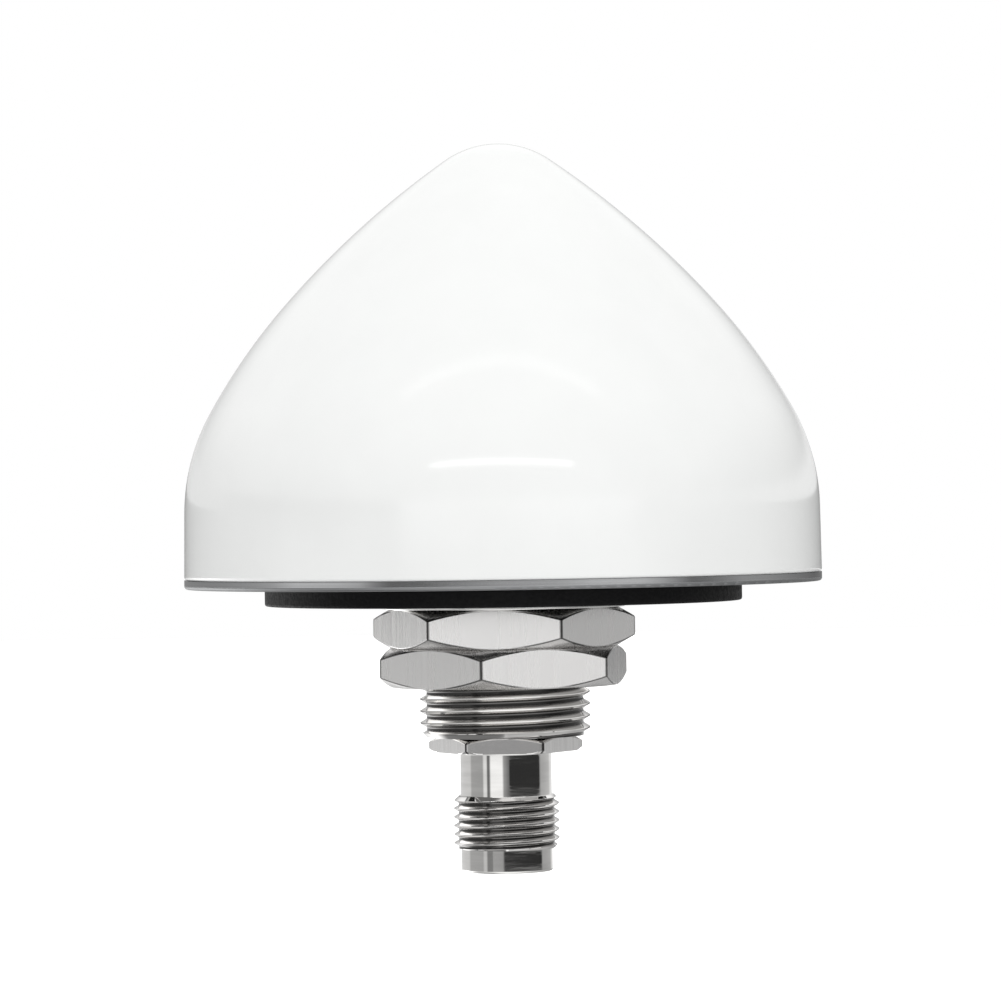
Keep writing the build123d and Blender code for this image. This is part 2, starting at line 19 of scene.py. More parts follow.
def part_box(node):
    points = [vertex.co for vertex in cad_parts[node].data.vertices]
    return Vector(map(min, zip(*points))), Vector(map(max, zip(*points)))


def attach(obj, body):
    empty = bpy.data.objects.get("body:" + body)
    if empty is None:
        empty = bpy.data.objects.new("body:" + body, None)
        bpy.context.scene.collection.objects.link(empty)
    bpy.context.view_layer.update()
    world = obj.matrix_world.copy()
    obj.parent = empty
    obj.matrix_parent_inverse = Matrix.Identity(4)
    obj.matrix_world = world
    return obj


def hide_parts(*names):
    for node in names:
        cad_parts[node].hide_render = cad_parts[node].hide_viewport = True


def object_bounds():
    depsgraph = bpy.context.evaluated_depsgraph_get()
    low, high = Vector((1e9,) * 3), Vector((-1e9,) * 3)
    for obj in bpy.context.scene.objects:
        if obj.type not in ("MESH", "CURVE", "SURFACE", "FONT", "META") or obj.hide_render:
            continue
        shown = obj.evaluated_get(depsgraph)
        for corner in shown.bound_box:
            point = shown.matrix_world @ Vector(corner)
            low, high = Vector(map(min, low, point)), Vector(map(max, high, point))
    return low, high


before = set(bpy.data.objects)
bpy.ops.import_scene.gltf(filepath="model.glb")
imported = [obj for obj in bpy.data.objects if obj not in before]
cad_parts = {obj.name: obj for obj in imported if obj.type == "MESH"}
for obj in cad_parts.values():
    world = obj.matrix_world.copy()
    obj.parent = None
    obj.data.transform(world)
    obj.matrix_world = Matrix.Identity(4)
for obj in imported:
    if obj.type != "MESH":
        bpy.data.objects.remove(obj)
CAD_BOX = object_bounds()

MM = 0.001
TAU = 2 * math.pi
NodeTree = bpy.types.NodeTree
Socket = bpy.types.NodeSocket
log = logging.getLogger("dome_antenna")


# ---------------------------------------------------------------- nodes and colours


def linear(hex_code: str) -> tuple[float, float, float, float]:
    """Turn an sRGB hex colour into linear RGBA.

    Args:
        hex_code: six hexadecimal digits, such as "E8E9E6".

    Returns:
        Linear red, green, blue and an alpha of 1.
    """
    levels = [int(hex_code[i:i + 2], 16) / 255 for i in (0, 2, 4)]
    red, green, blue = (v / 12.92 if v <= 0.04045 else ((v + 0.055) / 1.055) ** 2.4 for v in levels)
    return red, green, blue, 1.0


def add_node(tree: NodeTree, kind: str, settings: Optional[dict] = None,
             inputs: Optional[dict] = None) -> bpy.types.Node:
    """Add one node to a tree.

    Args:
        tree: the shader or geometry tree.
        kind: the node's type name.
        settings: properties to set on it.
        inputs: socket name or number to a value, or to the output socket that feeds it.

    Returns:
        The new node.
    """
    node = tree.nodes.new(kind)
    for name, value in (settings or {}).items():
        setattr(node, name, value)
    for name, value in (inputs or {}).items():
        if isinstance(value, bpy.types.NodeSocket):
            tree.links.new(value, node.inputs[name])
        else:
            node.inputs[name].default_value = value
    return node


def maths(tree: NodeTree, operation: str, *values: Union[float, Socket]) -> Socket:
    """Add a Math node and return its result socket."""
    inputs = dict(enumerate(values))
    return add_node(tree, "ShaderNodeMath", {"operation": operation}, inputs).outputs[0]


# ---------------------------------------------------------------- finishes


class Grain(Enum):
    """Which way the fine pattern of a finish runs."""

    EVEN = "even"
    TURNED = "turned"
    UPRIGHT = "upright"


PAINTED_SHADE_ATTRIBUTE = "painted_shade_line"
# Painted shade: the dark colour laid along the marked edge, corner and thread-root lines, where shade falls.
PAINTED_EDGE_SHADE = "2A2928"
# Painted shade on the alloy's lower edge: darker colours for its tool lines and lands.
SHADED_TURNED_LAND = "939495"
SHADED_TURNED_GROOVE = "7E7F80"
AS_TURNED_ROUGHNESS = 0.45
SHADED_EDGE_FADE = 0.04 * MM


@dataclass(frozen=True)
class Finish:
    """One finish: a real surface and how it was made.

    The pattern is a noise whose size comes from the real grain. It tints the colour, changes the
    roughness and raises the surface by a few thousandths of a millimetre.
    """

    name: str
    colour: str
    shade: str
    metallic: float = 0.0
    roughness: float = 0.4
    rough_spread: float = 0.05
    ior: float = 1.5
    grain: Grain = Grain.EVEN
    grain_mm: float = 0.5
    length_mm: float = 20.0
    relief_mm: float = 0.002
    contrast: tuple[float, float] = (0.35, 0.65)
    coat: float = 0.0
    coat_roughness: float = 0.05
    subsurface: float = 0.0
    # How strongly the painted shade darkens the marked edge, corner and root lines.
    lines: float = 0.0
    specular: float = 0.5
    # Height below which the alloy gets painted shade and a rougher surface.
    shaded_below_mm: Optional[float] = None

    def coordinates(self, tree: NodeTree) -> Socket:
        """Return the pattern's coordinates, one unit for each grain."""
        here = add_node(tree, "ShaderNodeTexCoord").outputs["Object"]
        fine = 1 / (self.grain_mm * MM)
        along = 1 / (self.length_mm * MM)
        if self.grain is Grain.EVEN:
            return add_node(tree, "ShaderNodeMapping", None, {0: here, 3: (fine,) * 3}).outputs[0]
        if self.grain is Grain.UPRIGHT:
            return add_node(tree, "ShaderNodeMapping", None, {0: here, 3: (fine, fine, along)}).outputs[0]
        axes = add_node(tree, "ShaderNodeSeparateXYZ", None, {0: here})
        square = maths(tree, "ADD", maths(tree, "MULTIPLY", axes.outputs[0], axes.outputs[0]),
                       maths(tree, "MULTIPLY", axes.outputs[1], axes.outputs[1]))
        radius = maths(tree, "SQRT", square)
        turn = maths(tree, "ARCTAN2", axes.outputs[1], axes.outputs[0])
        rings = {0: maths(tree, "MULTIPLY", radius, fine), 1: maths(tree, "MULTIPLY", turn, 0.8),
                 2: maths(tree, "MULTIPLY", axes.outputs[2], fine)}
        return add_node(tree, "ShaderNodeCombineXYZ", None, rings).outputs[0]

    def shade_turned_edge(self, tree: NodeTree, level: Socket, tint: Socket,
                     rough: Socket) -> tuple[Socket, Socket]:
        """Give the faces below a height painted shade and tool lines, and make them rougher than the polished
        band.

        Args:
            tree: the material's node tree.
            level: the pattern, 0 in a tool groove and 1 on the land beside it.
            tint: the polished colour.
            rough: the polished roughness.

        Returns:
            The colour and the roughness over the whole piece.
        """
        here = add_node(tree, "ShaderNodeTexCoord").outputs["Object"]
        height = add_node(tree, "ShaderNodeSeparateXYZ", None, {0: here}).outputs[2]
        edge = self.shaded_below_mm * MM
        turned = add_node(tree, "ShaderNodeMapRange", None,
                          {0: height, 1: edge, 2: edge - SHADED_EDGE_FADE}).outputs[0]
        shaded_grain = add_node(tree, "ShaderNodeMix", {"data_type": "RGBA"},
                         {0: level, 6: linear(SHADED_TURNED_GROOVE), 7: linear(SHADED_TURNED_LAND)}).outputs[2]
        tint = add_node(tree, "ShaderNodeMix", {"data_type": "RGBA"},
                        {0: turned, 6: tint, 7: shaded_grain}).outputs[2]
        rough = add_node(tree, "ShaderNodeMix", {"data_type": "FLOAT"},
                         {0: turned, 2: rough, 3: AS_TURNED_ROUGHNESS}).outputs[0]
        return tint, rough

    def material(self) -> bpy.types.Material:
        """Return the finish's material, made once.

        Returns:
            A node material named for the finish.
        """
        known = bpy.data.materials.get(self.name)
        if known:
            return known
        made = bpy.data.materials.new(self.name)
        made.use_nodes = True
        tree = made.node_tree
        tree.nodes.clear()
        noise = add_node(tree, "ShaderNodeTexNoise", None,
                         {"Vector": self.coordinates(tree), "Scale": 1.0, "Detail": 3.0}).outputs[0]
        low, high = self.contrast
        level = add_node(tree, "ShaderNodeMapRange", None,
                         {0: noise, 1: low, 2: high, 3: 0.0, 4: 1.0}).outputs[0]
        tint = add_node(tree, "ShaderNodeMix", {"data_type": "RGBA"},
                        {0: level, 6: linear(self.shade), 7: linear(self.colour)}).outputs[2]
        # Painted shade: darken the marked lines towards the dark shade colour.
        if self.lines:
            line = add_node(tree, "ShaderNodeAttribute", {"attribute_name": PAINTED_SHADE_ATTRIBUTE}).outputs["Fac"]
            line = maths(tree, "MULTIPLY", line, self.lines)
            tint = add_node(tree, "ShaderNodeMix", {"data_type": "RGBA"},
                            {0: line, 6: tint, 7: linear(PAINTED_EDGE_SHADE)}).outputs[2]
        rough = add_node(tree, "ShaderNodeMapRange", None,
                         {0: level, 3: self.roughness + self.rough_spread,
                          4: max(self.roughness - self.rough_spread, 0.01)}).outputs[0]
        if self.shaded_below_mm is not None:
            tint, rough = self.shade_turned_edge(tree, level, tint, rough)
        relief = add_node(tree, "ShaderNodeBump", None,
                          {"Strength": 1.0, "Distance": self.relief_mm * MM, "Height": level}).outputs[0]
        shader = add_node(tree, "ShaderNodeBsdfPrincipled", None, {
            "Base Color": tint, "Metallic": self.metallic, "Roughness": rough, "IOR": self.ior,
            "Normal": relief, "Coat Weight": self.coat, "Coat Roughness": self.coat_roughness,
            "Subsurface Weight": self.subsurface, "Specular IOR Level": self.specular})
        if self.subsurface:
            shader.inputs["Subsurface Scale"].default_value = 1.0 * MM
        add_node(tree, "ShaderNodeOutputMaterial", None, {0: shader.outputs[0]})
        return made


# Weatherproof white plastic, injection moulded and glossy: it gives crisp, faintly rippled lights.
RADOME_GLOSS = Finish("moulded_white_asa", "EBECEB", "E9EAE9", roughness=0.09, rough_spread=0.015,
                      ior=1.5, grain_mm=6.0, relief_mm=0.0015, contrast=(0.3, 0.7))
# Aluminium alloy turned on a lathe and clear anodised: the rim is polished; the edge and the face
# under it are rougher, with fine concentric tool lines, and their colour is darkened as painted shade.
TURNED_ALLOY = Finish("turned_anodised_alloy", "C9CACB", "C0C1C2", metallic=1.0, roughness=0.07,
                      rough_spread=0.01, grain=Grain.TURNED, grain_mm=0.18, relief_mm=0.0002,
                      shaded_below_mm=2.32)
# EPDM rubber, moulded matt: near black with a soft, dusty surface.
BLACK_RUBBER = Finish("moulded_black_epdm", "0B0B0C", "070708", roughness=0.55, rough_spread=0.08,
                      ior=1.5, specular=0.14, grain_mm=0.35, relief_mm=0.012)
# Spring steel stamped and polished: bright, with faint rolling marks.
STAMPED_STEEL = Finish("stamped_stainless", "E8E8E6", "DEDEDC", metallic=1.0, roughness=0.22,
                       rough_spread=0.05, grain=Grain.TURNED, grain_mm=0.25, relief_mm=0.002)
# Nickel-plated brass nuts with ground flats: satin, with fine upright grinding lines.
GROUND_NICKEL = Finish("ground_nickel_plate", "E6E5E4", "E1E0DF", metallic=1.0, roughness=0.25,
                       rough_spread=0.03, grain=Grain.UPRIGHT, grain_mm=0.3, length_mm=14.0,
                       relief_mm=0.00018, lines=1.0)
# The same plate on the small hexagon, finer and brighter.
FINE_NICKEL = Finish("fine_ground_nickel", "E4E3E2", "DFDEDD", metallic=1.0, roughness=0.06,
                     rough_spread=0.02, grain=Grain.UPRIGHT, grain_mm=0.2, length_mm=9.0,
                     relief_mm=0.0001, lines=1.0)
# Nickel plate over a cut thread: bright, with a little smear along the cut.
THREAD_NICKEL = Finish("bright_nickel_thread", "E3E2E0", "CFCDCB", metallic=1.0, roughness=0.07,
                       rough_spread=0.03, grain=Grain.TURNED, grain_mm=0.4, relief_mm=0.0004, lines=0.95)
# The same plate on the jack's finer thread, polished.
FINE_THREAD = Finish("polished_nickel_thread", "E6E5E4", "D6D4D2", metallic=1.0, roughness=0.04,
                     rough_spread=0.02, grain=Grain.TURNED, grain_mm=0.4, relief_mm=0.0002, lines=0.95)
# Polished turned brass under bright nickel: a mirror with hardly any grain.
MIRROR_NICKEL = Finish("mirror_nickel_plate", "E4E3E1", "D8D7D5", metallic=1.0, roughness=0.02,
                       rough_spread=0.01, grain=Grain.TURNED, grain_mm=0.8, relief_mm=0.0002)
# PTFE turned from rod: waxy white.
WHITE_PTFE = Finish("turned_white_ptfe", "EDEDE8", "E2E2DC", roughness=0.42, ior=1.38,
                    grain=Grain.TURNED, grain_mm=0.2, relief_mm=0.002, subsurface=0.3)
# Gold flash over beryllium copper: warm and bright.
CONTACT_GOLD = Finish("gold_flash", "E2B866", "C99B48", metallic=1.0, roughness=0.18,
                      grain=Grain.TURNED, grain_mm=0.15, relief_mm=0.001)
# Free-cutting brass, turned: yellow with tool lines.
TURNED_BRASS = Finish("turned_brass", "C9A35A", "AE8844", metallic=1.0, roughness=0.28,
                      grain=Grain.TURNED, grain_mm=0.2, relief_mm=0.002)
# Stainless screw stock: bright grey.
SCREW_STEEL = Finish("machined_stainless", "C6C6C4", "A9A9A7", metallic=1.0, roughness=0.3,
                     grain_mm=0.3, relief_mm=0.002)
# Nitrile O-ring: black, slightly shiny.
RING_RUBBER = Finish("nitrile_ring", "18181A", "101011", roughness=0.45, grain_mm=0.4, relief_mm=0.003)
# Brown fluoroplastic cable jacket: smooth, warm brown.
CABLE_BROWN = Finish("extruded_brown_fep", "7A4E2C", "6B4325", roughness=0.35, grain_mm=0.8, relief_mm=0.002)
# Green solder mask over woven glass: the weave shows faintly through it.
SOLDER_MASK = Finish("green_solder_mask", "1E6B3A", "185A30", roughness=0.28, grain_mm=0.45,
                     relief_mm=0.004, coat=0.4)
# Tin-plated steel sheet, folded: bright with a soft bloom.
TINPLATE = Finish("folded_tinplate", "C9C9C8", "B3B3B2", metallic=1.0, roughness=0.3, grain_mm=1.2,
                  relief_mm=0.003)
# Moulded epoxy chips: matt black.
CHIP_EPOXY = Finish("moulded_epoxy", "26262A", "1D1D20", roughness=0.55, grain_mm=0.12, relief_mm=0.003)
# Filter packages with a dull metal lid.
FILTER_LID = Finish("kovar_lid", "B9B3A6", "A59F92", metallic=0.8, roughness=0.38, grain_mm=0.3)
# Fired capacitor ceramic: tan.
TAN_CERAMIC = Finish("fired_tan_ceramic", "A88258", "97734C", roughness=0.5, grain_mm=0.1)
# Dielectric ceramic, fired and ground: chalky buff.
PATCH_CERAMIC = Finish("ground_dielectric_ceramic", "CDBFA6", "BDAE94", roughness=0.6, grain_mm=0.25,
                       relief_mm=0.006)
# Silver paste, fired: pale and matt.
FIRED_SILVER = Finish("fired_silver_paste", "E3E0DA", "CFCBC4", metallic=1.0, roughness=0.42, grain_mm=0.2,
                      relief_mm=0.004)
# Acrylic adhesive sheet: milky.
CLEAR_TAPE = Finish("acrylic_adhesive", "D9D8D0", "CECDC4", roughness=0.35, grain_mm=0.9)


# ---------------------------------------------------------------- mesh building


Point = tuple[float, float]


def finish_mesh(name: str, mesh: bpy.types.Mesh, finish: Finish, sharp_deg: float = 38.0) -> bpy.types.Object:
    """Clean a mesh and make it an object.

    Args:
        name: the piece's name.
        mesh: its mesh, already in place.
        finish: what it is made of.
        sharp_deg: edges that turn more than this stay crisp.

    Returns:
        A linked object at the origin.
    """
    work = bmesh.new()
    work.from_mesh(mesh)
    bmesh.ops.remove_doubles(work, verts=work.verts, dist=0.0005 * MM)
    bmesh.ops.dissolve_degenerate(work, edges=work.edges, dist=0.0002 * MM)
    bmesh.ops.recalc_face_normals(work, faces=work.faces)
    work.to_mesh(mesh)
    work.free()
    mesh.shade_smooth()
    mesh.set_sharp_from_angle(angle=math.radians(sharp_deg))
    mesh.materials.clear()
    mesh.materials.append(finish.material())
    mesh.name = name
    piece = bpy.data.objects.new(name, mesh)
    bpy.context.scene.collection.objects.link(piece)
    return piece


def grid_mesh(name: str, points: np.ndarray) -> bpy.types.Mesh:
    """Make a mesh from a grid of points, rows by columns by three."""
    rows, columns = points.shape[:2]
    index = np.arange(rows * columns).reshape(rows, columns)
    faces = np.stack([index[:-1, :-1], index[:-1, 1:], index[1:, 1:], index[1:, :-1]], axis=-1)
    mesh = bpy.data.meshes.new(name)
    mesh.from_pydata(points.reshape(-1, 3).tolist(), [], faces.reshape(-1, 4).tolist())
    return mesh


def turned_points(rows: Sequence[tuple[np.ndarray, np.ndarray]], angles: np.ndarray) -> np.ndarray:
    """Place rows of (radius, height) round the axis at the given angles."""
    sheet = [np.stack([r * np.cos(angles), r * np.sin(angles), z + 0 * angles], axis=-1) for r, z in rows]
    return np.stack(sheet)


def hexagon_angles(steps: int, turn_deg: float) -> np.ndarray:
    """Angles round a hexagon, crowded towards its corners.

    Args:
        steps: steps along each flat.
        turn_deg: one corner's angle from +X.

    Returns:
        Angles for a whole turn, the first one repeated at the end.
    """
    along = (1 - np.cos(np.pi * np.arange(steps) / steps)) / 2
    whole = np.concatenate([along + side for side in range(6)] + [np.array([6.0])])
    return math.radians(turn_deg) + whole * math.pi / 3


def hexagon_radius(flats: float, angles: np.ndarray, turn_deg: float, crispness: float) -> np.ndarray:
    """Radius of a hexagon with softly rounded corners.

    Args:
        flats: size across the flats.
        angles: where to read it.
        turn_deg: one corner's angle from +X.
        crispness: higher gives tighter corners.

    Returns:
        The radius at each angle.
    """
    middle = math.radians(turn_deg + 30)
    reach = [np.clip(np.cos(angles - middle - k * math.pi / 3), 0, 1) ** crispness for k in range(6)]
    return flats / 2 / np.sum(reach, axis=0) ** (1 / crispness)


def corner_shade_lines(angles: np.ndarray, turn_deg: float, corner_radius: float, width: float) -> np.ndarray:
    """Return the strength of the painted shade along a hexagon's corner edges: 1 on them, falling to 0 away
    from them.

    Args:
        angles: where to read it.
        turn_deg: one corner's angle from +X.
        corner_radius: the corners' radius.
        width: how far the line reaches on each side.

    Returns:
        The painted shade's strength at each angle.
    """
    share = np.mod((angles - math.radians(turn_deg)) / (math.pi / 3), 1.0)
    away = np.minimum(share, 1 - share) * math.pi / 3 * corner_radius
    return np.clip(1.6 - away / width, 0, 1)


def mark_painted_shade(mesh: bpy.types.Mesh, strength: np.ndarray) -> None:
    """Store the strength of the painted shade lines on a mesh's vertices."""
    layer = mesh.attributes.new(PAINTED_SHADE_ATTRIBUTE, "FLOAT", "POINT")
    layer.data.foreach_set("value", strength.astype(np.float32).ravel())


def corner_rows(before: Point, corner: Point, after: Point, size: float) -> list[Point]:
    """Points that round one corner of an outline, with tight supports beside it.

    Args:
        before: the outline's point before the corner.
        corner: the sharp corner.
        after: the point after it.
        size: how far the rounding reaches along each side.

    Returns:
        The points that take the corner's place.
    """
    here = np.array(corner, dtype=float)
    sides = []
    for other in (before, after):
        way = np.array(other, dtype=float) - here
        length = np.linalg.norm(way)
        reach = min(size, 0.45 * length)
        sides.append((way / length, reach))
    (back, back_reach), (ahead, ahead_reach) = sides
    start, end = here + back * back_reach, here + ahead * ahead_reach
    rounded = [start + back * back_reach * 0.1]
    rounded += [(1 - t) ** 2 * start + 2 * t * (1 - t) * here + t * t * end for t in (0, 0.25, 0.5, 0.75, 1)]
    rounded.append(end + ahead * ahead_reach * 0.1)
    return [tuple(point) for point in rounded]


def rounded_outline(corners: Sequence[Point], size: float, closed: bool = True) -> list[Point]:
    """Round every corner of an outline of (radius, height) points.

    Args:
        corners: the sharp outline.
        size: the rounding's reach.
        closed: whether the last point joins the first.

    Returns:
        The rounded outline, its first point repeated at the end if it is closed.
    """
    count = len(corners)
    points: list[Point] = []
    for i, corner in enumerate(corners):
        if not closed and i in (0, count - 1):
            points.append(corner)
        else:
            points += corner_rows(corners[i - 1], corner, corners[(i + 1) % count], size)
    return points + points[:1] if closed else points


# ---------------------------------------------------------------- geometry node trees


@dataclass
class ShapeTree:
    """A geometry node tree under construction, with named inputs."""

    name: str
    sockets: Sequence[tuple[str, str]]
    tree: bpy.types.NodeTree = field(init=False)
    source: bpy.types.Node = field(init=False)

    def __post_init__(self) -> None:
        """Create the tree and its group sockets."""
        self.tree = bpy.data.node_groups.new(self.name, "GeometryNodeTree")
        face = self.tree.interface
        face.new_socket("Geometry", in_out="INPUT", socket_type="NodeSocketGeometry")
        for name, kind in self.sockets:
            face.new_socket(name, in_out="INPUT", socket_type=kind)
        face.new_socket("Material", in_out="INPUT", socket_type="NodeSocketMaterial")
        face.new_socket("Geometry", in_out="OUTPUT", socket_type="NodeSocketGeometry")
        self.source = self.tree.nodes.new("NodeGroupInput")

    def given(self, name: str) -> Socket:
        """Return one of the tree's inputs."""
        return self.source.outputs[name]

    def end(self, shape: Socket) -> bpy.types.NodeTree:
        """Realise the shape, give it its material and close the tree."""
        real = add_node(self.tree, "GeometryNodeRealizeInstances", None, {"Geometry": shape}).outputs[0]
        dressed = add_node(self.tree, "GeometryNodeSetMaterial", None,
                           {"Geometry": real, "Material": self.given("Material")}).outputs[0]
        add_node(self.tree, "NodeGroupOutput", None, {"Geometry": dressed})
        return self.tree


def run_tree(name: str, base: bpy.types.Mesh, tree: bpy.types.NodeTree, values: dict,
             finish: Finish) -> bpy.types.Mesh:
    """Run a geometry node tree on a mesh and keep only its result.

    Args:
        name: the result's name.
        base: the mesh that the tree starts from.
        tree: the tree.
        values: input name to value.
        finish: the finish that the tree hands to Set Material.

    Returns:
        The plain mesh that the tree makes.
    """
    holder = bpy.data.objects.new(name + ".source", base)
    bpy.context.scene.collection.objects.link(holder)
    modifier = holder.modifiers.new(tree.name, "NODES")
    modifier.node_group = tree
    sockets = {item.name: item.identifier for item in tree.interface.items_tree if item.in_out == "INPUT"}
    for key, value in {**values, "Material": finish.material()}.items():
        modifier[sockets[key]] = value
    bpy.context.view_layer.update()
    graph = bpy.context.evaluated_depsgraph_get()
    result = bpy.data.meshes.new_from_object(holder.evaluated_get(graph), depsgraph=graph)
    holder.modifiers.remove(modifier)
    bpy.data.objects.remove(holder)
    return result


def polar_grid(shape: ShapeTree, rows: Socket, segments: Socket) -> tuple[Socket, Socket, Socket]:
    """Add a grid whose columns go round the axis.

    Args:
        shape: the tree.
        rows: how many points each column has.
        segments: how many steps make a turn.

    Returns:
        The grid, each point's row number and each point's angle.
    """
    tree = shape.tree
    columns = maths(tree, "ADD", segments, 1.0)
    grid = add_node(tree, "GeometryNodeMeshGrid", None,
                    {"Size X": 1.0, "Size Y": 1.0, "Vertices X": columns, "Vertices Y": rows}).outputs[0]
    number = add_node(tree, "GeometryNodeInputIndex").outputs[0]
    column = maths(tree, "FLOOR", maths(tree, "DIVIDE", maths(tree, "ADD", number, 0.5), rows))
    row = maths(tree, "SUBTRACT", number, maths(tree, "MULTIPLY", column, rows))
    angle = maths(tree, "MULTIPLY", maths(tree, "DIVIDE", column, segments), TAU)
    return grid, row, angle


def lathe_tree() -> bpy.types.NodeTree:
    """Build the tree that turns an outline about the axis.

    Returns:
        A tree whose input geometry is the outline, point by point, in the XZ plane.
    """
    known = bpy.data.node_groups.get("lathe")
    if known:
        return known
    shape = ShapeTree("lathe", [("Segments", "NodeSocketInt")])
    tree = shape.tree
    outline = shape.given("Geometry")
    count = add_node(tree, "GeometryNodeAttributeDomainSize", {"component": "MESH"},
                     {"Geometry": outline}).outputs["Point Count"]
    grid, row, angle = polar_grid(shape, count, shape.given("Segments"))
    place = add_node(tree, "GeometryNodeInputPosition").outputs[0]
    sample = add_node(tree, "GeometryNodeSampleIndex", {"data_type": "FLOAT_VECTOR", "domain": "POINT"},
                      {"Geometry": outline, "Value": place, "Index": row}).outputs["Value"]
    spun = add_node(tree, "ShaderNodeVectorRotate", {"rotation_type": "Z_AXIS"},
                    {"Vector": sample, "Angle": angle}).outputs[0]
    laid = add_node(tree, "GeometryNodeSetPosition", None, {"Geometry": grid, "Position": spun}).outputs[0]
    return shape.end(laid)


def turn_on_lathe(name: str, outline: Sequence[Point], finish: Finish, segments: int = 160,
                  sharp_deg: float = 38.0) -> bpy.types.Object:
    """Turn an outline of (radius, height) points into a piece.

    Args:
        name: the piece's name.
        outline: its points, closed by repeating the first, or ending on the axis.
        finish: what it is made of.
        segments: steps round the axis.
        sharp_deg: edges that turn more than this stay crisp.

    Returns:
        The piece, at the origin.
    """
    chain = bpy.data.meshes.new(name + ".outline")
    edges = [(i, i + 1) for i in range(len(outline) - 1)]
    chain.from_pydata([(r, 0.0, z) for r, z in outline], edges, [])
    mesh = run_tree(name, chain, lathe_tree(), {"Segments": segments}, finish)
    return finish_mesh(name, mesh, finish, sharp_deg)


@dataclass(frozen=True)
class Thread:
    """An external right-hand thread, cut on a tube."""

    major: float
    depth: float
    pitch: float
    bottom: float
    top: float
    wall: float
    lead_radius: float
    phase: float
    crest_share: float = 0.125
    root_share: float = 0.25
    lead_slope: float = 1.2
    rows_per_pitch: int = 16

    def turns(self) -> int:
        """Return how many whole turns of cut rows cover the length."""
        return math.ceil((self.top - self.bottom) / self.pitch) + 1

    def radius(self, steps: np.ndarray) -> np.ndarray:
        """Return the cut's radius at places counted in pitches."""
        part = np.abs(2 * np.mod(steps + self.phase, 1.0) - 1)
        fall = (part - self.crest_share) / (1 - self.crest_share - self.root_share)
        return self.major - self.depth * np.clip(fall, 0, 1)

    def values(self, segments: int) -> dict:
        """Return the thread tree's inputs."""
        return {"Major Radius": self.major, "Depth": self.depth, "Pitch": self.pitch,
                "Bottom": self.bottom, "Top": self.top, "Wall Radius": self.wall,
                "Lead Radius": self.lead_radius, "Phase": self.phase,
                "Crest Share": self.crest_share, "Root Share": self.root_share,
                "Lead Slope": self.lead_slope, "Rows Per Pitch": float(self.rows_per_pitch),
                "Turns": float(self.turns()), "Segments": segments}


# How tightly the painted shade keeps to a thread's root: higher is narrower.
ROOT_SHADE_POWER = 12.0


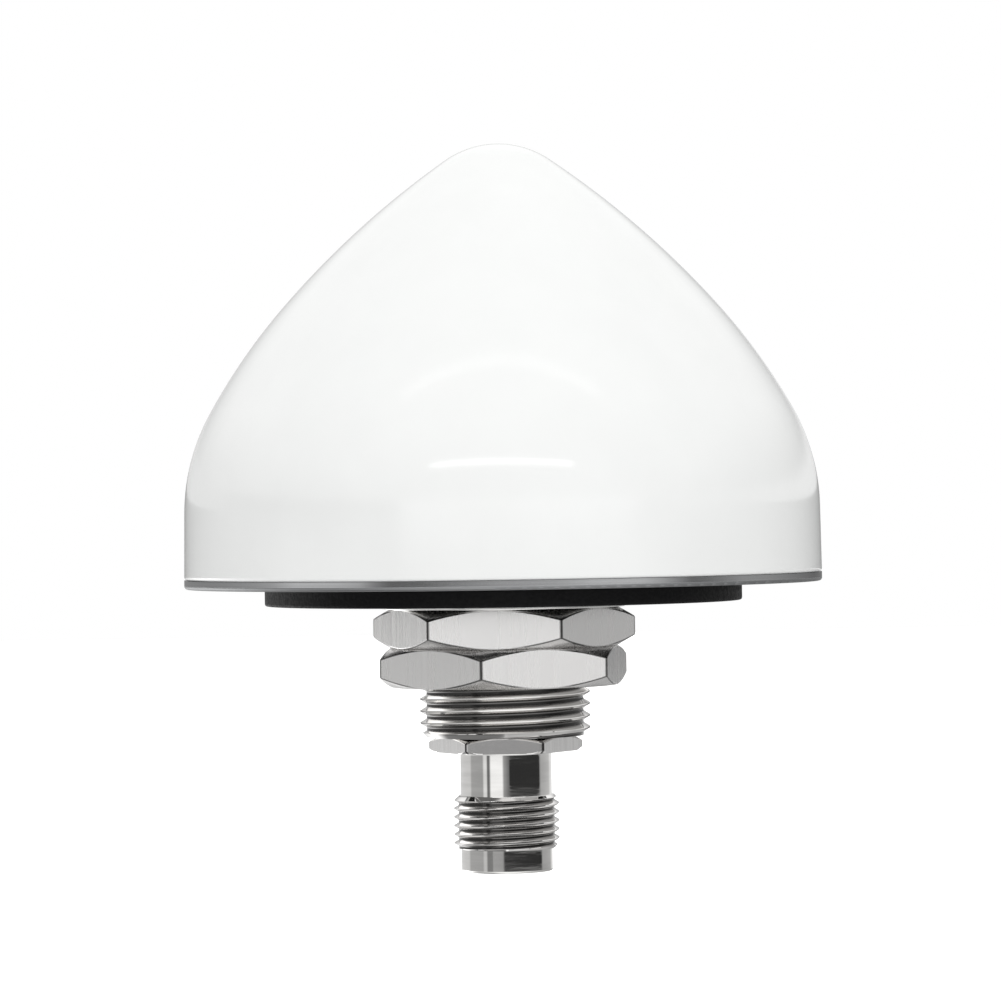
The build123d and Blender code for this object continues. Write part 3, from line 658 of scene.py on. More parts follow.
def thread_tree() -> bpy.types.NodeTree:
    """Build the tree that winds a thread round a tube.

    Each row of the grid follows the helix, so crests and roots are clean lines. The rows fade into
    a lead-in cone at both ends, and three more rows close the tube's inside.

    Returns:
        The tree.
    """
    known = bpy.data.node_groups.get("helical_thread")
    if known:
        return known
    lengths = ["Major Radius", "Depth", "Pitch", "Bottom", "Top", "Wall Radius", "Lead Radius", "Phase",
               "Crest Share", "Root Share", "Lead Slope", "Rows Per Pitch", "Turns"]
    shape = ShapeTree("helical_thread", [(name, "NodeSocketFloat") for name in lengths]
                      + [("Segments", "NodeSocketInt")])
    tree, given = shape.tree, shape.given
    cut_rows = maths(tree, "MULTIPLY_ADD", given("Turns"), given("Rows Per Pitch"), 1.0)
    grid, row, angle = polar_grid(shape, maths(tree, "ADD", cut_rows, 3.0), given("Segments"))
    step = maths(tree, "DIVIDE", maths(tree, "SUBTRACT", row, 1.0), given("Rows Per Pitch"))
    climb = maths(tree, "ADD", maths(tree, "SUBTRACT", step, 1.0), maths(tree, "DIVIDE", angle, TAU))
    height = maths(tree, "MULTIPLY_ADD", climb, given("Pitch"), given("Bottom"))
    height = maths(tree, "MINIMUM", maths(tree, "MAXIMUM", height, given("Bottom")), given("Top"))
    part = maths(tree, "FRACT", maths(tree, "ADD", step, maths(tree, "ADD", given("Phase"), 4.0)))
    part = maths(tree, "ABSOLUTE", maths(tree, "MULTIPLY_ADD", part, 2.0, -1.0))
    flank = maths(tree, "SUBTRACT", maths(tree, "SUBTRACT", 1.0, given("Crest Share")), given("Root Share"))
    fall = maths(tree, "DIVIDE", maths(tree, "SUBTRACT", part, given("Crest Share")), flank)
    fall = maths(tree, "MINIMUM", maths(tree, "MAXIMUM", fall, 0.0), 1.0)
    radius = maths(tree, "SUBTRACT", given("Major Radius"), maths(tree, "MULTIPLY", fall, given("Depth")))
    room = maths(tree, "MINIMUM", maths(tree, "SUBTRACT", height, given("Bottom")),
                 maths(tree, "SUBTRACT", given("Top"), height))
    lead = maths(tree, "MULTIPLY_ADD", room, given("Lead Slope"), given("Lead Radius"))
    uncut = maths(tree, "LESS_THAN", radius, lead)
    radius = maths(tree, "MINIMUM", radius, lead)
    last = maths(tree, "ADD", cut_rows, 0.5)
    inside = maths(tree, "MAXIMUM", maths(tree, "LESS_THAN", row, 0.5),
                   maths(tree, "GREATER_THAN", row, last))
    at_top = maths(tree, "COMPARE", row, maths(tree, "ADD", cut_rows, 1.0), 0.5)
    length = maths(tree, "SUBTRACT", given("Top"), given("Bottom"))
    wall_height = maths(tree, "MULTIPLY_ADD", at_top, length, given("Bottom"))
    mix = [(radius, given("Wall Radius")), (height, wall_height)]
    radius, height = (
        add_node(tree, "ShaderNodeMix", {"data_type": "FLOAT"}, {0: inside, 2: cut, 3: wall}).outputs[0]
        for cut, wall in mix)
    across = maths(tree, "MULTIPLY", radius, maths(tree, "COSINE", angle))
    deep = maths(tree, "MULTIPLY", radius, maths(tree, "SINE", angle))
    place = add_node(tree, "ShaderNodeCombineXYZ", None, {0: across, 1: deep, 2: height}).outputs[0]
    laid = add_node(tree, "GeometryNodeSetPosition", None, {"Geometry": grid, "Position": place}).outputs[0]
    # Painted shade in the thread's roots, left off the lead-in and the tube's inside.
    root_shade = maths(tree, "MULTIPLY", maths(tree, "POWER", fall, ROOT_SHADE_POWER),
                      maths(tree, "SUBTRACT", 1.0, inside))
    root_shade = maths(tree, "MULTIPLY", root_shade, uncut)
    marked = add_node(tree, "GeometryNodeStoreNamedAttribute", {"data_type": "FLOAT", "domain": "POINT"},
                      {"Geometry": laid, "Name": PAINTED_SHADE_ATTRIBUTE, "Value": root_shade}).outputs[0]
    return shape.end(marked)


def cut_thread(name: str, thread: Thread, finish: Finish, segments: int = 120) -> bpy.types.Object:
    """Cut a thread and return it as a closed, threaded tube."""
    seed = bpy.data.meshes.new(name + ".seed")
    mesh = run_tree(name, seed, thread_tree(), thread.values(segments), finish)
    return finish_mesh(name, mesh, finish, sharp_deg=25.0)


def ring_tree() -> bpy.types.NodeTree:
    """Build the tree that repeats one item, evenly spaced on a circle.

    Returns:
        A tree whose input geometry is the item, placed on the first spoke.
    """
    known = bpy.data.node_groups.get("ring_of_items")
    if known:
        return known
    shape = ShapeTree("ring_of_items", [("Count", "NodeSocketInt"), ("First Angle", "NodeSocketFloat")])
    tree = shape.tree
    spots = add_node(tree, "GeometryNodeMeshLine", {"mode": "OFFSET"},
                     {"Count": shape.given("Count"), "Offset": (0.0, 0.0, 0.0)}).outputs[0]
    number = add_node(tree, "GeometryNodeInputIndex").outputs[0]
    share = maths(tree, "DIVIDE", number, shape.given("Count"))
    angle = maths(tree, "MULTIPLY_ADD", share, TAU, shape.given("First Angle"))
    turn = add_node(tree, "ShaderNodeCombineXYZ", None, {2: angle}).outputs[0]
    turn = add_node(tree, "FunctionNodeEulerToRotation", None, {0: turn}).outputs[0]
    copies = add_node(tree, "GeometryNodeInstanceOnPoints", None,
                      {"Points": spots, "Instance": shape.given("Geometry"), "Rotation": turn}).outputs[0]
    return shape.end(copies)


def ring_of(name: str, item: bpy.types.Mesh, count: int, first_deg: float, finish: Finish,
            sharp_deg: float = 38.0) -> bpy.types.Object:
    """Repeat an item round the axis and return the group as one piece."""
    values = {"Count": count, "First Angle": math.radians(first_deg)}
    mesh = run_tree(name, item, ring_tree(), values, finish)
    return finish_mesh(name, mesh, finish, sharp_deg)


def join(name: str, pieces: Sequence[bpy.types.Object]) -> bpy.types.Object:
    """Join pieces into the first one and rename it."""
    whole = bmesh.new()
    lead = pieces[0]
    materials = [material for piece in pieces for material in piece.data.materials[:1]]
    kept = list(dict.fromkeys(materials))
    for piece, material in zip(pieces, materials):
        before = len(whole.faces)
        whole.from_mesh(piece.data)
        whole.faces.ensure_lookup_table()
        for face in whole.faces[before:]:
            face.material_index = kept.index(material)
    joined = bpy.data.meshes.new(name)
    whole.to_mesh(joined)
    whole.free()
    for material in kept:
        joined.materials.append(material)
    for piece in pieces[1:]:
        bpy.data.objects.remove(piece)
    lead.data = joined
    lead.name = name
    return lead


# ---------------------------------------------------------------- the antenna's parts


@dataclass
class Piece:
    """Shared handling of one finished piece."""

    body: str
    node: str
    slot: str

    def stand_in(self, made: bpy.types.Object) -> bpy.types.Object:
        """Let a finished piece stand for its CAD node."""
        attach(made, self.body)
        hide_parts(self.node)
        log.info("%s: %d faces on %s", made.name, len(made.data.polygons), self.body)
        return made


@dataclass
class Radome(Piece):
    """Moulded shell: a chain of tangent arcs, turned about the axis."""

    body: str = "antenna_body"
    node: str = "radome"
    slot: str = "radome_plastic"
    arcs_mm: Sequence[tuple[float, float]] = ((9.77, 34.62), (95.1, 13.84), (63.5, 12.34), (21.92, 28.16))
    wall: float = 2.5 * MM
    lip: float = 0.42 * MM
    arc_step_deg: float = 0.75
    boss_circle: float = 27.6 * MM
    boss_radius: float = 2.6 * MM
    boss_height: float = 8.0 * MM
    boss_wall: float = 0.67 * MM
    boss_cap: float = 1.0 * MM
    boss_edge: float = 0.15 * MM
    bosses_count: int = 6
    first_boss_deg: float = 30.0
    rib_length: float = 2.5 * MM
    rib_width: float = 2.0 * MM
    rib_shortfall: float = 0.4 * MM
    rib_reach: float = 1.1 * MM

    def outline(self, inset: float) -> list[Point]:
        """Return the shell's outline from the tip down to where the skirt starts.

        Args:
            inset: how far inside the outer face to draw it.

        Returns:
            Points of (radius, height).
        """
        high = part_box(self.node)[1]
        radius, height, heading = 0.0, high.z - inset, 0.0
        points = [(radius, height)]
        for arc_mm, sweep_deg in self.arcs_mm:
            bend = arc_mm * MM - inset
            centre = (radius - bend * math.sin(heading), height - bend * math.cos(heading))
            steps = math.ceil(sweep_deg / self.arc_step_deg)
            for i in range(1, steps + 1):
                angle = heading + math.radians(sweep_deg) * i / steps
                points.append((centre[0] + bend * math.sin(angle), centre[1] + bend * math.cos(angle)))
            heading += math.radians(sweep_deg)
            radius, height = points[-1]
        return points

    def build(self) -> bpy.types.Object:
        """Build the shell with its wall and its rounded lip."""
        low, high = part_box(self.node)
        outer, inner = self.outline(0.0), self.outline(self.wall)
        edge = (high.x, low.z)
        inside = (high.x - self.wall, low.z)
        lip = corner_rows(outer[-1], edge, inside, self.lip)
        points = outer + lip + [inside] + inner[::-1]
        shell = turn_on_lathe("radome_shell", points, RADOME_GLOSS, segments=256, sharp_deg=60.0)
        return self.stand_in(join("radome_moulding", [shell, self.bosses()]))

    def bosses(self) -> bpy.types.Object:
        """Mould the screw bosses, each with the rib that ties it to the wall."""
        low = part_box("radome_inserts")[0]
        top = low.z + self.boss_height
        bore = self.boss_radius - self.boss_wall
        roof = top - self.boss_cap
        corners = [(0.0, top), (self.boss_radius, top), (self.boss_radius, low.z), (bore, low.z),
                   (bore, roof), (0.0, roof)]
        rounded = rounded_outline(corners, self.boss_edge, closed=False)
        tube = turn_on_lathe("boss_tube", rounded, RADOME_GLOSS, segments=32)
        blank = bmesh.new()
        blank.from_mesh(tube.data)
        rib = bmesh.ops.create_cube(blank, size=1.0)["verts"]
        size = Matrix.Diagonal((self.rib_length, self.rib_width, self.boss_height - self.rib_shortfall, 1.0))
        middle = Vector((self.boss_radius + self.rib_reach, 0, (low.z + top) / 2))
        bmesh.ops.transform(blank, matrix=Matrix.Translation(middle) @ size, verts=rib)
        bmesh.ops.translate(blank, vec=(self.boss_circle, 0, 0), verts=blank.verts)
        item = bpy.data.meshes.new("boss")
        blank.to_mesh(item)
        blank.free()
        bpy.data.objects.remove(tube)
        return ring_of("radome_bosses", item, self.bosses_count, self.first_boss_deg, RADOME_GLOSS)


@dataclass
class Gasket(Piece):
    """Rubber disc that seals the base to the deck."""

    body: str = "antenna_body"
    node: str = "base_gasket"
    slot: str = "gasket_rubber"
    bore: float = 9.25 * MM
    edge: float = 0.28 * MM

    def build(self) -> bpy.types.Object:
        """Mould the gasket with its soft edges."""
        low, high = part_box(self.node)
        corners = [(self.bore, low.z), (high.x, low.z), (high.x, high.z), (self.bore, high.z)]
        disc = turn_on_lathe("gasket_disc", rounded_outline(corners, self.edge), BLACK_RUBBER)
        return self.stand_in(disc)


@dataclass(frozen=True)
class StubThread:
    """The stub's thread, which both nuts run on."""

    major: float = 8.95 * MM
    pitch: float = 1.25 * MM
    depth: float = 0.68 * MM
    phase: float = 0.82
    wall: float = 6.55 * MM
    lead_slope: float = 1.0
    nut_play: float = 0.06 * MM
    nut_crest: float = 8.36 * MM

    def external(self) -> Thread:
        """Return the thread as cut on the stub."""
        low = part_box("mounting_stub")[0]
        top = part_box("base_plate")[1].z
        return Thread(major=self.major, depth=self.depth, pitch=self.pitch, bottom=low.z, top=top,
                      wall=self.wall, lead_radius=self.major - self.depth, phase=self.phase,
                      lead_slope=self.lead_slope)


@dataclass
class Nut(Piece):
    """Thin hexagon nut, chamfered on both faces, with a thread that follows the stub's."""

    turn_deg: float = 0.0
    flats: float = 24.0 * MM
    chamfer_deg: float = 30.0
    edge: float = 0.10 * MM
    mouth: float = 9.65 * MM
    # Width of the painted shade along the corners.
    line: float = 0.13 * MM
    crispness: float = 260.0
    steps_per_flat: int = 36
    face_inset: float = 0.05 * MM
    face_ring: float = 0.1 * MM
    # How far the painted shade under the chamfer arcs takes to reach full strength.
    arc_fade: float = 0.5 * MM
    thread: StubThread = StubThread()

    def build(self) -> bpy.types.Object:
        """Build the nut as one closed skin.

        Returns:
            The nut, standing for its node.
        """
        low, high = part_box(self.node)
        angles = hexagon_angles(self.steps_per_flat, self.turn_deg)
        flat = hexagon_radius(self.flats, angles, self.turn_deg, self.crispness)
        face = self.flats / 2 - self.face_inset
        slope = math.tan(math.radians(self.chamfer_deg))
        drop = np.maximum(flat - face, 0) * slope
        slant = np.maximum(flat - face, 1e-7) / math.cos(math.radians(self.chamfer_deg))
        reach = np.minimum(self.edge, 0.45 * slant)
        lean = np.array([math.cos(math.radians(self.chamfer_deg)), math.sin(math.radians(self.chamfer_deg))])
        flank = []
        for share in (1.15, 1.0):
            flank.append((flat - lean[0] * reach * share, drop - lean[1] * reach * share))
        flank.append((flat - lean[0] * reach / 4, drop + (self.edge - lean[1] * reach) / 4))
        for share in (1.0, 1.3):
            flank.append((flat, drop + self.edge * share))
        whole = np.full_like(angles, 1.0)
        rows = [(self.mouth * whole, low.z * whole), ((face - self.face_ring) * whole, low.z * whole),
                (face * whole, low.z * whole)]
        rows += [(r, low.z + z) for r, z in flank]
        rows += [(r, high.z - z) for r, z in flank[::-1]]
        rows += [(face * whole, high.z * whole), ((face - self.face_ring) * whole, high.z * whole),
                 (self.mouth * whole, high.z * whole)]
        rows += self.inner_rows(angles, low.z, high.z)
        rows.append(rows[0])
        # Painted shade along the rounded corners and under the chamfer arcs, where shade falls on the nut.
        lines = np.zeros((len(rows), len(angles)))
        lines[5:11] = corner_shade_lines(angles, self.turn_deg, self.flats / 2 / math.cos(math.pi / 6), self.line)
        arc_shade = np.clip((flat - face) / self.arc_fade, 0.3, 1.0)
        for row in (4, 5, 6, 9, 10, 11):
            lines[row] = np.maximum(lines[row], arc_shade * (0.9 if row in (5, 10) else 0.7))
        mesh = grid_mesh(self.node, turned_points(rows, angles))
        mark_painted_shade(mesh, lines)
        return self.stand_in(finish_mesh(self.node + "_hexagon", mesh, GROUND_NICKEL, sharp_deg=33.0))

    def inner_rows(self, angles: np.ndarray, bottom: float,
                   top: float) -> list[tuple[np.ndarray, np.ndarray]]:
        """Return the rows of the internal thread, from the top face down.

        Args:
            angles: the columns' angles.
            bottom: the nut's lower face.
            top: its upper face.

        Returns:
            Rows of radius and height.
        """
        cut = self.thread.external()
        start = math.floor((bottom - cut.bottom) / cut.pitch) - 1
        end = math.ceil((top - cut.bottom) / cut.pitch) + 2
        rows = []
        for i in range(end * cut.rows_per_pitch, start * cut.rows_per_pitch - 1, -1):
            step = i / cut.rows_per_pitch
            height = cut.bottom + (step - 1 + angles / TAU) * cut.pitch
            height = np.clip(height, bottom, top)
            groove = np.maximum(cut.radius(np.array(step)) + self.thread.nut_play, self.thread.nut_crest)
            cone = self.mouth - np.minimum(height - bottom, top - height)
            rows.append((np.maximum(groove, cone), height))
        return rows


@dataclass
class Stub(Piece):
    """Hollow threaded stub and its flange inside the housing."""

    body: str = "antenna_body"
    node: str = "mounting_stub"
    slot: str = "stub_plating"
    thread: StubThread = StubThread()
    bore: float = 6.0 * MM
    edge: float = 0.15 * MM

    def build(self) -> bpy.types.Object:
        """Cut the stub's thread and turn its flange."""
        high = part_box(self.node)[1]
        cut = self.thread.external()
        tube = cut_thread("stub_tube", cut, THREAD_NICKEL)
        corners = [(self.bore, cut.top), (high.x, cut.top), (high.x, high.z), (self.bore, high.z)]
        flange = turn_on_lathe("stub_flange", rounded_outline(corners, self.edge), THREAD_NICKEL)
        return self.stand_in(join("mounting_stub_threaded", [tube, flange]))


@dataclass
class Washer(Piece):
    """Lock washer: a flat ring with inner teeth."""

    body: str = "washer"
    node: str = "lock_washer"
    slot: str = "washer_steel"
    bore: float = 9.25 * MM
    edge: float = 0.08 * MM
    teeth: int = 16
    tooth_reach: float = 1.45 * MM
    tooth_width: float = 1.9 * MM
    twist_deg: float = 4.0
    tooth_thinness: float = 0.7
    tooth_overlap: float = 1.1
    tooth_edge: float = 0.06 * MM

    def build(self) -> bpy.types.Object:
        """Turn the ring and set the teeth round its bore."""
        low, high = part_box(self.node)
        inner = self.bore + self.tooth_reach
        corners = [(inner, low.z), (high.x, low.z), (high.x, high.z), (inner, high.z)]
        ring = turn_on_lathe("washer_ring", rounded_outline(corners, self.edge), STAMPED_STEEL)
        blank = bmesh.new()
        bmesh.ops.create_cube(blank, size=1.0)
        thickness = (high.z - low.z) * self.tooth_thinness
        length = self.tooth_reach * self.tooth_overlap
        size = Matrix.Diagonal((length, self.tooth_width, thickness, 1.0))
        lean = Matrix.Rotation(math.radians(self.twist_deg), 4, "X")
        middle = Vector((self.bore + length / 2, 0, (low.z + high.z) / 2))
        bmesh.ops.transform(blank, matrix=Matrix.Translation(middle) @ lean @ size, verts=blank.verts)
        bmesh.ops.bevel(blank, geom=blank.edges, offset=self.tooth_edge, segments=2, affect="EDGES")
        tooth = bpy.data.meshes.new("washer_tooth")
        blank.to_mesh(tooth)
        blank.free()
        teeth = ring_of("washer_teeth", tooth, self.teeth, 180 / self.teeth, STAMPED_STEEL)
        return self.stand_in(join("lock_washer_toothed", [ring, teeth]))


@dataclass
class Jack:
    """Coaxial jack: hexagon flange, neck, thread, front barrel and insulator."""

    flats: float = 14.0 * MM
    turn_deg: float = -1.0
    neck: float = 4.8 * MM
    thread_major: float = 5.556 * MM
    thread_depth: float = 0.5 * MM
    thread_pitch: float = 25.4 / 28 * MM
    thread_phase: float = 0.336
    thread_wall: float = 4.6 * MM
    lead_slope: float = 0.9
    thread_top: float = -20.2 * MM
    thread_bottom: float = -25.8 * MM
    flange_bottom: float = -15.6 * MM
    flange_top: float = -14.0 * MM
    socket: float = 4.06 * MM
    socket_floor: float = -23.0 * MM
    seat: float = 3.35 * MM
    spigot: float = 6.5 * MM
    land: float = 5.9 * MM
    core_edge: float = 0.22 * MM
    steps_per_flat: int = 20
    crispness: float = 220.0
    chamfer_reach: float = 1.05 * MM
    chamfer_slope: float = 0.5
    easing_reach: float = 0.5 * MM
    easing_slope: float = 0.6
    edge: float = 0.07 * MM
    # Width of the painted shade along the corners.
    line: float = 0.11 * MM
    contact_hole: float = 0.72 * MM
    nose: float = 2.4 * MM
    insulator_play: float = 0.06 * MM
    insulator_edge: float = 0.18 * MM

    def shell(self) -> bpy.types.Object:
        """Build the jack's metal body.

        Returns:
            Hexagon, core and thread joined into one piece.
        """
        low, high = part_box("connector_body")
        core_outline = [
            (self.seat, high.z), (self.spigot, high.z), (self.spigot, self.flange_top),
            (self.land, self.flange_top), (self.land, self.flange_bottom),
            (self.neck, self.flange_bottom), (self.neck, low.z), (self.socket, low.z),
            (self.socket, self.socket_floor), (self.seat, self.socket_floor)]
        core = turn_on_lathe("jack_core", rounded_outline(core_outline, self.core_edge), MIRROR_NICKEL,
                             segments=128)
        cut = Thread(major=self.thread_major, depth=self.thread_depth, pitch=self.thread_pitch,
                     bottom=self.thread_bottom, top=self.thread_top, wall=self.thread_wall,
                     lead_radius=self.thread_major - self.thread_depth, phase=self.thread_phase,
                     lead_slope=self.lead_slope)
        thread = cut_thread("jack_thread", cut, FINE_THREAD, segments=112)
        return join("jack_shell", [self.hexagon(), thread, core])

    def hexagon(self) -> bpy.types.Object:
        """Build the hexagon flange, chamfered above and eased below."""
        angles = hexagon_angles(self.steps_per_flat, self.turn_deg)
        flat = hexagon_radius(self.flats, angles, self.turn_deg, self.crispness)
        corner = self.flats / 2 / math.cos(math.pi / 6)
        start = corner - self.chamfer_reach
        drop = np.maximum(flat - start, 0) * self.chamfer_slope
        eased = corner - self.easing_reach
        low_drop = np.maximum(flat - eased, 0) * self.easing_slope
        whole = np.ones_like(angles)
        edge = self.edge
        rows = [
            (self.land * whole, self.flange_bottom * whole),
            (np.minimum(flat, eased) - edge, self.flange_bottom * whole),
            (np.minimum(flat, eased), (self.flange_bottom + edge * 0.3) * whole),
            (flat, self.flange_bottom + low_drop + edge),
            (flat, self.flange_bottom + low_drop + edge * 1.4),
            (flat, self.flange_top - drop - edge * 1.4),
            (flat, self.flange_top - drop - edge),
            (flat - edge * 0.8, self.flange_top - drop + edge * 0.2),
            (start * whole, self.flange_top * whole),
            (self.land * whole, self.flange_top * whole),
        ]
        rows.append(rows[0])
        # Painted shade along the hexagon's rounded corners.
        corner_shade = corner_shade_lines(angles, self.turn_deg, corner, self.line)
        lines = np.stack([corner_shade * share for share in (0, 1, 1, 1, 1, 1, 1, 1, 0, 0, 0)])
        mesh = grid_mesh("jack_hexagon", turned_points(rows, angles))
        mark_painted_shade(mesh, lines)
        return finish_mesh("jack_hexagon", mesh, FINE_NICKEL, sharp_deg=33.0)

    def insulator(self) -> bpy.types.Object:
        """Turn the insulator with its nose round the contact."""
        low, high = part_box("connector_insulator")
        bore, outside = self.contact_hole, self.seat - self.insulator_play
        corners = [(bore, high.z), (outside, high.z), (outside, self.socket_floor),
                   (self.nose, self.socket_floor), (self.nose, low.z), (bore, low.z)]
        rounded = rounded_outline(corners, self.insulator_edge)
        return turn_on_lathe("jack_insulator", rounded, WHITE_PTFE, segments=96)

    def build(self) -> None:
        """Build the jack's pieces."""
        Piece("antenna_body", "connector_body", "jack_plating").stand_in(self.shell())
        Piece("antenna_body", "connector_insulator", "insulator_plastic").stand_in(self.insulator())


INNER_FINISHES = {
    "base_plate": TURNED_ALLOY,
    "radome_inserts": TURNED_BRASS, "radome_screws": SCREW_STEEL, "radome_seal": RING_RUBBER,
    "stub_screws": SCREW_STEEL, "stub_seal": RING_RUBBER, "connector_seal": RING_RUBBER,
    "center_contact": CONTACT_GOLD, "cable_ferrule": TURNED_BRASS, "coax_pigtail": CABLE_BROWN,
    "circuit_board": SOLDER_MASK, "board_standoffs": TURNED_BRASS, "board_screws": SCREW_STEEL,
    "shield_can": TINPLATE, "filter_chips": FILTER_LID, "amplifier_chips": CHIP_EPOXY,
    "chip_capacitors": TAN_CERAMIC, "voltage_regulator": CHIP_EPOXY, "lower_patch": PATCH_CERAMIC,
    "lower_electrode": FIRED_SILVER, "upper_patch": PATCH_CERAMIC, "upper_electrode": FIRED_SILVER,
    "patch_tape": CLEAR_TAPE, "feed_pins": FIRED_SILVER,
}


def dress_inner_nodes() -> None:
    """Give every CAD node that stays its finish."""
    for name, finish in INNER_FINISHES.items():
        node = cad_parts[name]
        for place in node.material_slots:
            place.material = finish.material()
        log.info("%s: %s", name, finish.name)


# ---------------------------------------------------------------- stage, light and camera


@dataclass(frozen=True)
class View:
    """Camera: level with the skirt, a long lens, the antenna leaning a little."""

    distance: float = 463.3 * MM
    eye_level: float = 9.75 * MM
    sideways: float = -0.16 * MM
    lens_mm: float = 158.24
    tilt_deg: float = 0.124
    roll_deg: float = -0.85

    def build(self) -> None:
        """Place the camera and make it the scene's."""
        data = bpy.data.cameras.new("camera")
        data.lens = self.lens_mm
        data.sensor_width = 36.0
        camera = bpy.data.objects.new("camera", data)
        look = Euler((math.radians(90 + self.tilt_deg), 0, 0)).to_matrix().to_4x4()
        roll = Matrix.Rotation(math.radians(self.roll_deg), 4, "Z")
        stand = Matrix.Translation((self.sideways, -self.distance, self.eye_level))
        camera.matrix_world = stand @ look @ roll
        bpy.context.scene.collection.objects.link(camera)
        bpy.context.scene.camera = camera


Stops = Sequence[tuple[float, float]]


@dataclass(frozen=True)
class Card:
    """A dark card with rounded corners, seen in the polished metal. Angles in degrees."""

    turn: float
    half_turn: float
    rise: float
    half_rise: float
    roundness: float = 7.0


@dataclass(frozen=True)
class Studio:
    """White studio: a bright tent, two strip lights in front and low cards for the metal.

    Each list of stops gives brightness by azimuth in degrees, 0 towards the camera and + to its right.
    The lists are laid one over another by elevation: below, flats, barrel, neck, horizon, glint, tent.
    A band edge is the pair of elevations between which the next list takes over.
    """

    floor_gap: float = 60 * MM
    floor_size: float = 6.0
    overhead: float = 1.16
    tent: Stops = (
        (-180, 0.50), (-155, 0.58), (-129, 0.74), (-105, 0.82), (-80, 0.82), (-50, 0.88), (-20, 1.14),
        (20, 1.18), (50, 1.10), (70, 0.75), (100, 0.55), (130, 0.50), (160, 0.42), (180, 0.50))
    glint: Stops = (
        (-180, 0.70), (-150, 0.74), (-129, 0.68), (-114, 0.40), (-102, 0.15), (-45, 0.15), (-38, 0.50),
        (-34, 1.9), (46, 1.9), (52, 0.85), (115, 1.05), (145, 1.0), (180, 0.70))
    flats: Stops = (
        (-180, 0.60), (-158, 1.30), (-129, 3.00), (-103, 1.50), (-80, 0.75), (-50, 0.85), (-20, 1.14),
        (20, 1.18), (50, 1.05), (70, 0.75), (100, 0.55), (130, 0.50), (160, 0.42), (180, 0.50))
    horizon: Stops = (
        (-180, 0.26), (-141, 0.32), (-128, 0.35), (-118, 0.37), (-100, 0.45), (-90, 0.53), (-79, 0.73),
        (-62, 0.69), (-52, 0.58), (-46, 0.34), (-40, 0.18), (-30, 0.19), (-18, 0.31), (-2, 0.47), (18, 0.56),
        (33, 0.72), (50, 0.72), (58, 0.55), (70, 0.22), (78, 0.25), (95, 0.43), (109, 0.40),
        (130, 0.28), (150, 0.18), (180, 0.24))
    neck: Stops = (
        (-180, 0.76), (-103, 0.73), (-98, 0.47), (-62, 0.44), (-58, 0.90), (-51, 0.90), (-48, 0.20),
        (-43, 0.20), (-39, 1.16), (-10, 1.16), (-6, 0.42), (6, 0.20), (14, 0.16), (84, 0.16),
        (92, 0.27), (100, 0.50), (135, 0.62), (150, 0.95), (180, 0.76))
    barrel: Stops = (
        (-180, 0.80), (-112, 0.72), (-106, 0.48), (-64, 0.46), (-60, 0.68), (-54, 0.68), (-50, 0.26),
        (-38, 0.27), (-35, 0.45), (-12, 0.42), (-6, 0.20), (96, 0.20), (102, 0.42), (140, 0.50),
        (155, 0.95), (180, 0.80))
    below: Stops = (
        (-180, 0.70), (-160, 0.35), (-130, 0.22), (-60, 0.22), (-42, 0.60), (-30, 1.25), (35, 1.25),
        (55, 0.70), (140, 0.55), (180, 0.70))
    band_edges: Sequence[tuple[float, float]] = (
        (-45, -28), (-5.3, -5.2), (-4.15, -4.05), (-2.8, -2.7), (1.4, 1.8), (4.4, 9.0))
    overhead_edge: tuple[float, float] = (7, 28)
    cards: Sequence[Card] = (Card(51, 43, -3.425, 0.265), Card(45, 53, -4.55, 0.115))
    card_level: float = 0.035
    strips: Sequence[tuple[str, float, float, float, float]] = (
        ("low_strip", 26, 26, 3.2, 0.38), ("high_strip", 68, 55, 3.0, 0.10))
    strip_distance: float = 0.8
    strip_aim: float = 12 * MM
    floor_glow: float = 0.6

    def by_azimuth(self, tree: NodeTree, turn: Socket, stops: Stops) -> Socket:
        """Return brightness by direction, from stops of azimuth and level."""
        ramp = add_node(tree, "ShaderNodeValToRGB", None, {0: turn})
        points = ramp.color_ramp.elements
        points[0].position, points[1].position = 0.0, 1.0
        points[0].color = (stops[0][1],) * 3 + (1,)
        points[1].color = (stops[-1][1],) * 3 + (1,)
        for azimuth, level in stops[1:-1]:
            points.new(azimuth / 360 + 0.5).color = (level,) * 3 + (1,)
        return ramp.outputs[0]

    def world(self) -> None:
        """Build the tent's light."""
        world = bpy.data.worlds.new("studio_tent")
        bpy.context.scene.world = world
        world.use_nodes = True
        tree = world.node_tree
        tree.nodes.clear()
        way = add_node(tree, "ShaderNodeTexCoord").outputs["Generated"]
        axes = add_node(tree, "ShaderNodeSeparateXYZ", None, {0: way})
        front = maths(tree, "MULTIPLY", axes.outputs[1], -1.0)
        azimuth = maths(tree, "MULTIPLY", maths(tree, "ARCTAN2", axes.outputs[0], front), 180 / math.pi)
        turn = maths(tree, "MULTIPLY_ADD", azimuth, 1 / 360, 0.5)
        rise = maths(tree, "MULTIPLY", maths(tree, "ARCSINE", axes.outputs[2]), 180 / math.pi)

        def blend(share: Socket, under: Union[Socket, tuple], over: Union[Socket, tuple]) -> Socket:
            """Mix two brightnesses."""
            return add_node(tree, "ShaderNodeMix", {"data_type": "RGBA"},
                            {0: share, 6: under, 7: over}).outputs[2]

        def lay_over(under: Socket, start: float, full: float, over: Union[Socket, tuple]) -> Socket:
            """Lay a band over what is below it, easing in between two elevations."""
            share = add_node(tree, "ShaderNodeMapRange", {"interpolation_type": "SMOOTHSTEP"},
                             {0: rise, 1: start, 2: full}).outputs[0]
            return blend(share, under, over)

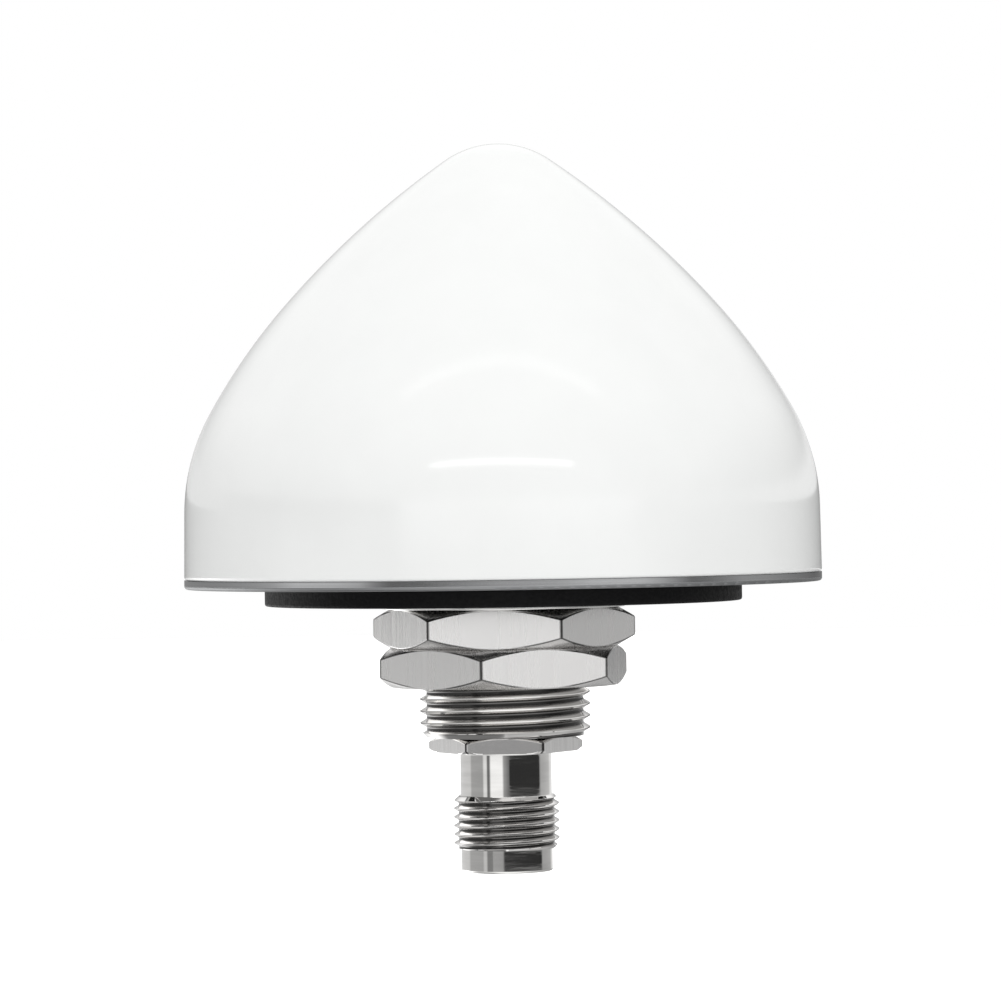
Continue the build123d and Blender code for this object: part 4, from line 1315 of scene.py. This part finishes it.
        light = self.by_azimuth(tree, turn, self.below)
        for (start, full), stops in zip(self.band_edges, (self.flats, self.barrel, self.neck, self.horizon,
                                                          self.glint, self.tent)):
            light = lay_over(light, start, full, self.by_azimuth(tree, turn, stops))
        light = lay_over(light, *self.overhead_edge, (self.overhead,) * 3 + (1,))
        for card in self.cards:
            across = maths(tree, "DIVIDE", maths(tree, "SUBTRACT", azimuth, card.turn), card.half_turn)
            upright = maths(tree, "DIVIDE", maths(tree, "SUBTRACT", rise, card.rise), card.half_rise)
            powers = [maths(tree, "POWER", maths(tree, "ABSOLUTE", part), card.roundness)
                      for part in (across, upright)]
            reach = maths(tree, "ADD", *powers)
            dark = add_node(tree, "ShaderNodeMapRange", None, {0: reach, 1: 1.25, 2: 0.75}).outputs[0]
            light = blend(dark, light, (self.card_level,) * 3 + (1,))
        seen = add_node(tree, "ShaderNodeLightPath").outputs["Is Camera Ray"]
        light = blend(seen, light, (1.0, 1.0, 1.0, 1))
        sky = add_node(tree, "ShaderNodeBackground", None, {0: light, 1: 1.0}).outputs[0]
        add_node(tree, "ShaderNodeOutputWorld", None, {0: sky})

    def strip(self, name: str, rise_deg: float, half_deg: float, thick_deg: float, power: float) -> None:
        """Hang a strip light in front of the antenna.

        Args:
            name: the light's name.
            rise_deg: its elevation.
            half_deg: how far it reaches to each side.
            thick_deg: its height as seen from the antenna.
            power: its power in watts.
        """
        away = self.strip_distance
        rise = math.radians(rise_deg)
        data = bpy.data.lights.new(name, "AREA")
        data.shape = "RECTANGLE"
        data.size = 2 * away * math.cos(rise) * math.tan(math.radians(half_deg))
        data.size_y = 2 * away * math.tan(math.radians(thick_deg / 2))
        data.energy = power
        light = bpy.data.objects.new(name, data)
        place = Vector((0, -away * math.cos(rise), away * math.sin(rise) + self.strip_aim))
        light.location = place
        light.rotation_euler = (place * -1).to_track_quat("-Z", "Y").to_euler()
        bpy.context.scene.collection.objects.link(light)

    def floor(self) -> None:
        """Lay the pale floor below the antenna, which is held by its mount."""
        level = CAD_BOX[0][2] - self.floor_gap
        half = self.floor_size / 2
        mesh = bpy.data.meshes.new("floor")
        corners = [(-half, -half, level), (half, -half, level), (half, half, level), (-half, half, level)]
        mesh.from_pydata(corners, [], [(0, 1, 2, 3)])
        paint = bpy.data.materials.new("white_paper")
        paint.use_nodes = True
        shader = paint.node_tree.nodes["Principled BSDF"]
        shader.inputs["Base Color"].default_value = linear("F4F4F2")
        shader.inputs["Roughness"].default_value = 0.9
        shader.inputs["Emission Color"].default_value = (1, 1, 1, 1)
        shader.inputs["Emission Strength"].default_value = self.floor_glow
        mesh.materials.append(paint)
        floor = bpy.data.objects.new("floor", mesh)
        floor.visible_diffuse = False
        floor.visible_glossy = False
        bpy.context.scene.collection.objects.link(floor)

    def build(self) -> None:
        """Set the light and lay the floor."""
        bpy.context.scene.view_settings.view_transform = "Standard"
        self.world()
        for name, rise_deg, half_deg, thick_deg, power in self.strips:
            self.strip(name, rise_deg, half_deg, thick_deg, power)
        self.floor()


def main() -> None:
    """Build the antenna's parts in order, then the studio."""
    logging.basicConfig(level=logging.INFO, format="%(message)s")
    View().build()
    Radome().build()
    Gasket().build()
    Stub().build()
    Washer().build()
    Nut("clamp_nut", "upper_nut", "nut_plating", turn_deg=-4.7).build()
    Nut("locking_nut", "jam_nut", "nut_plating", turn_deg=20.0).build()
    Jack().build()
    dress_inner_nodes()
    Studio().build()


if __name__ == "__main__":
    main()
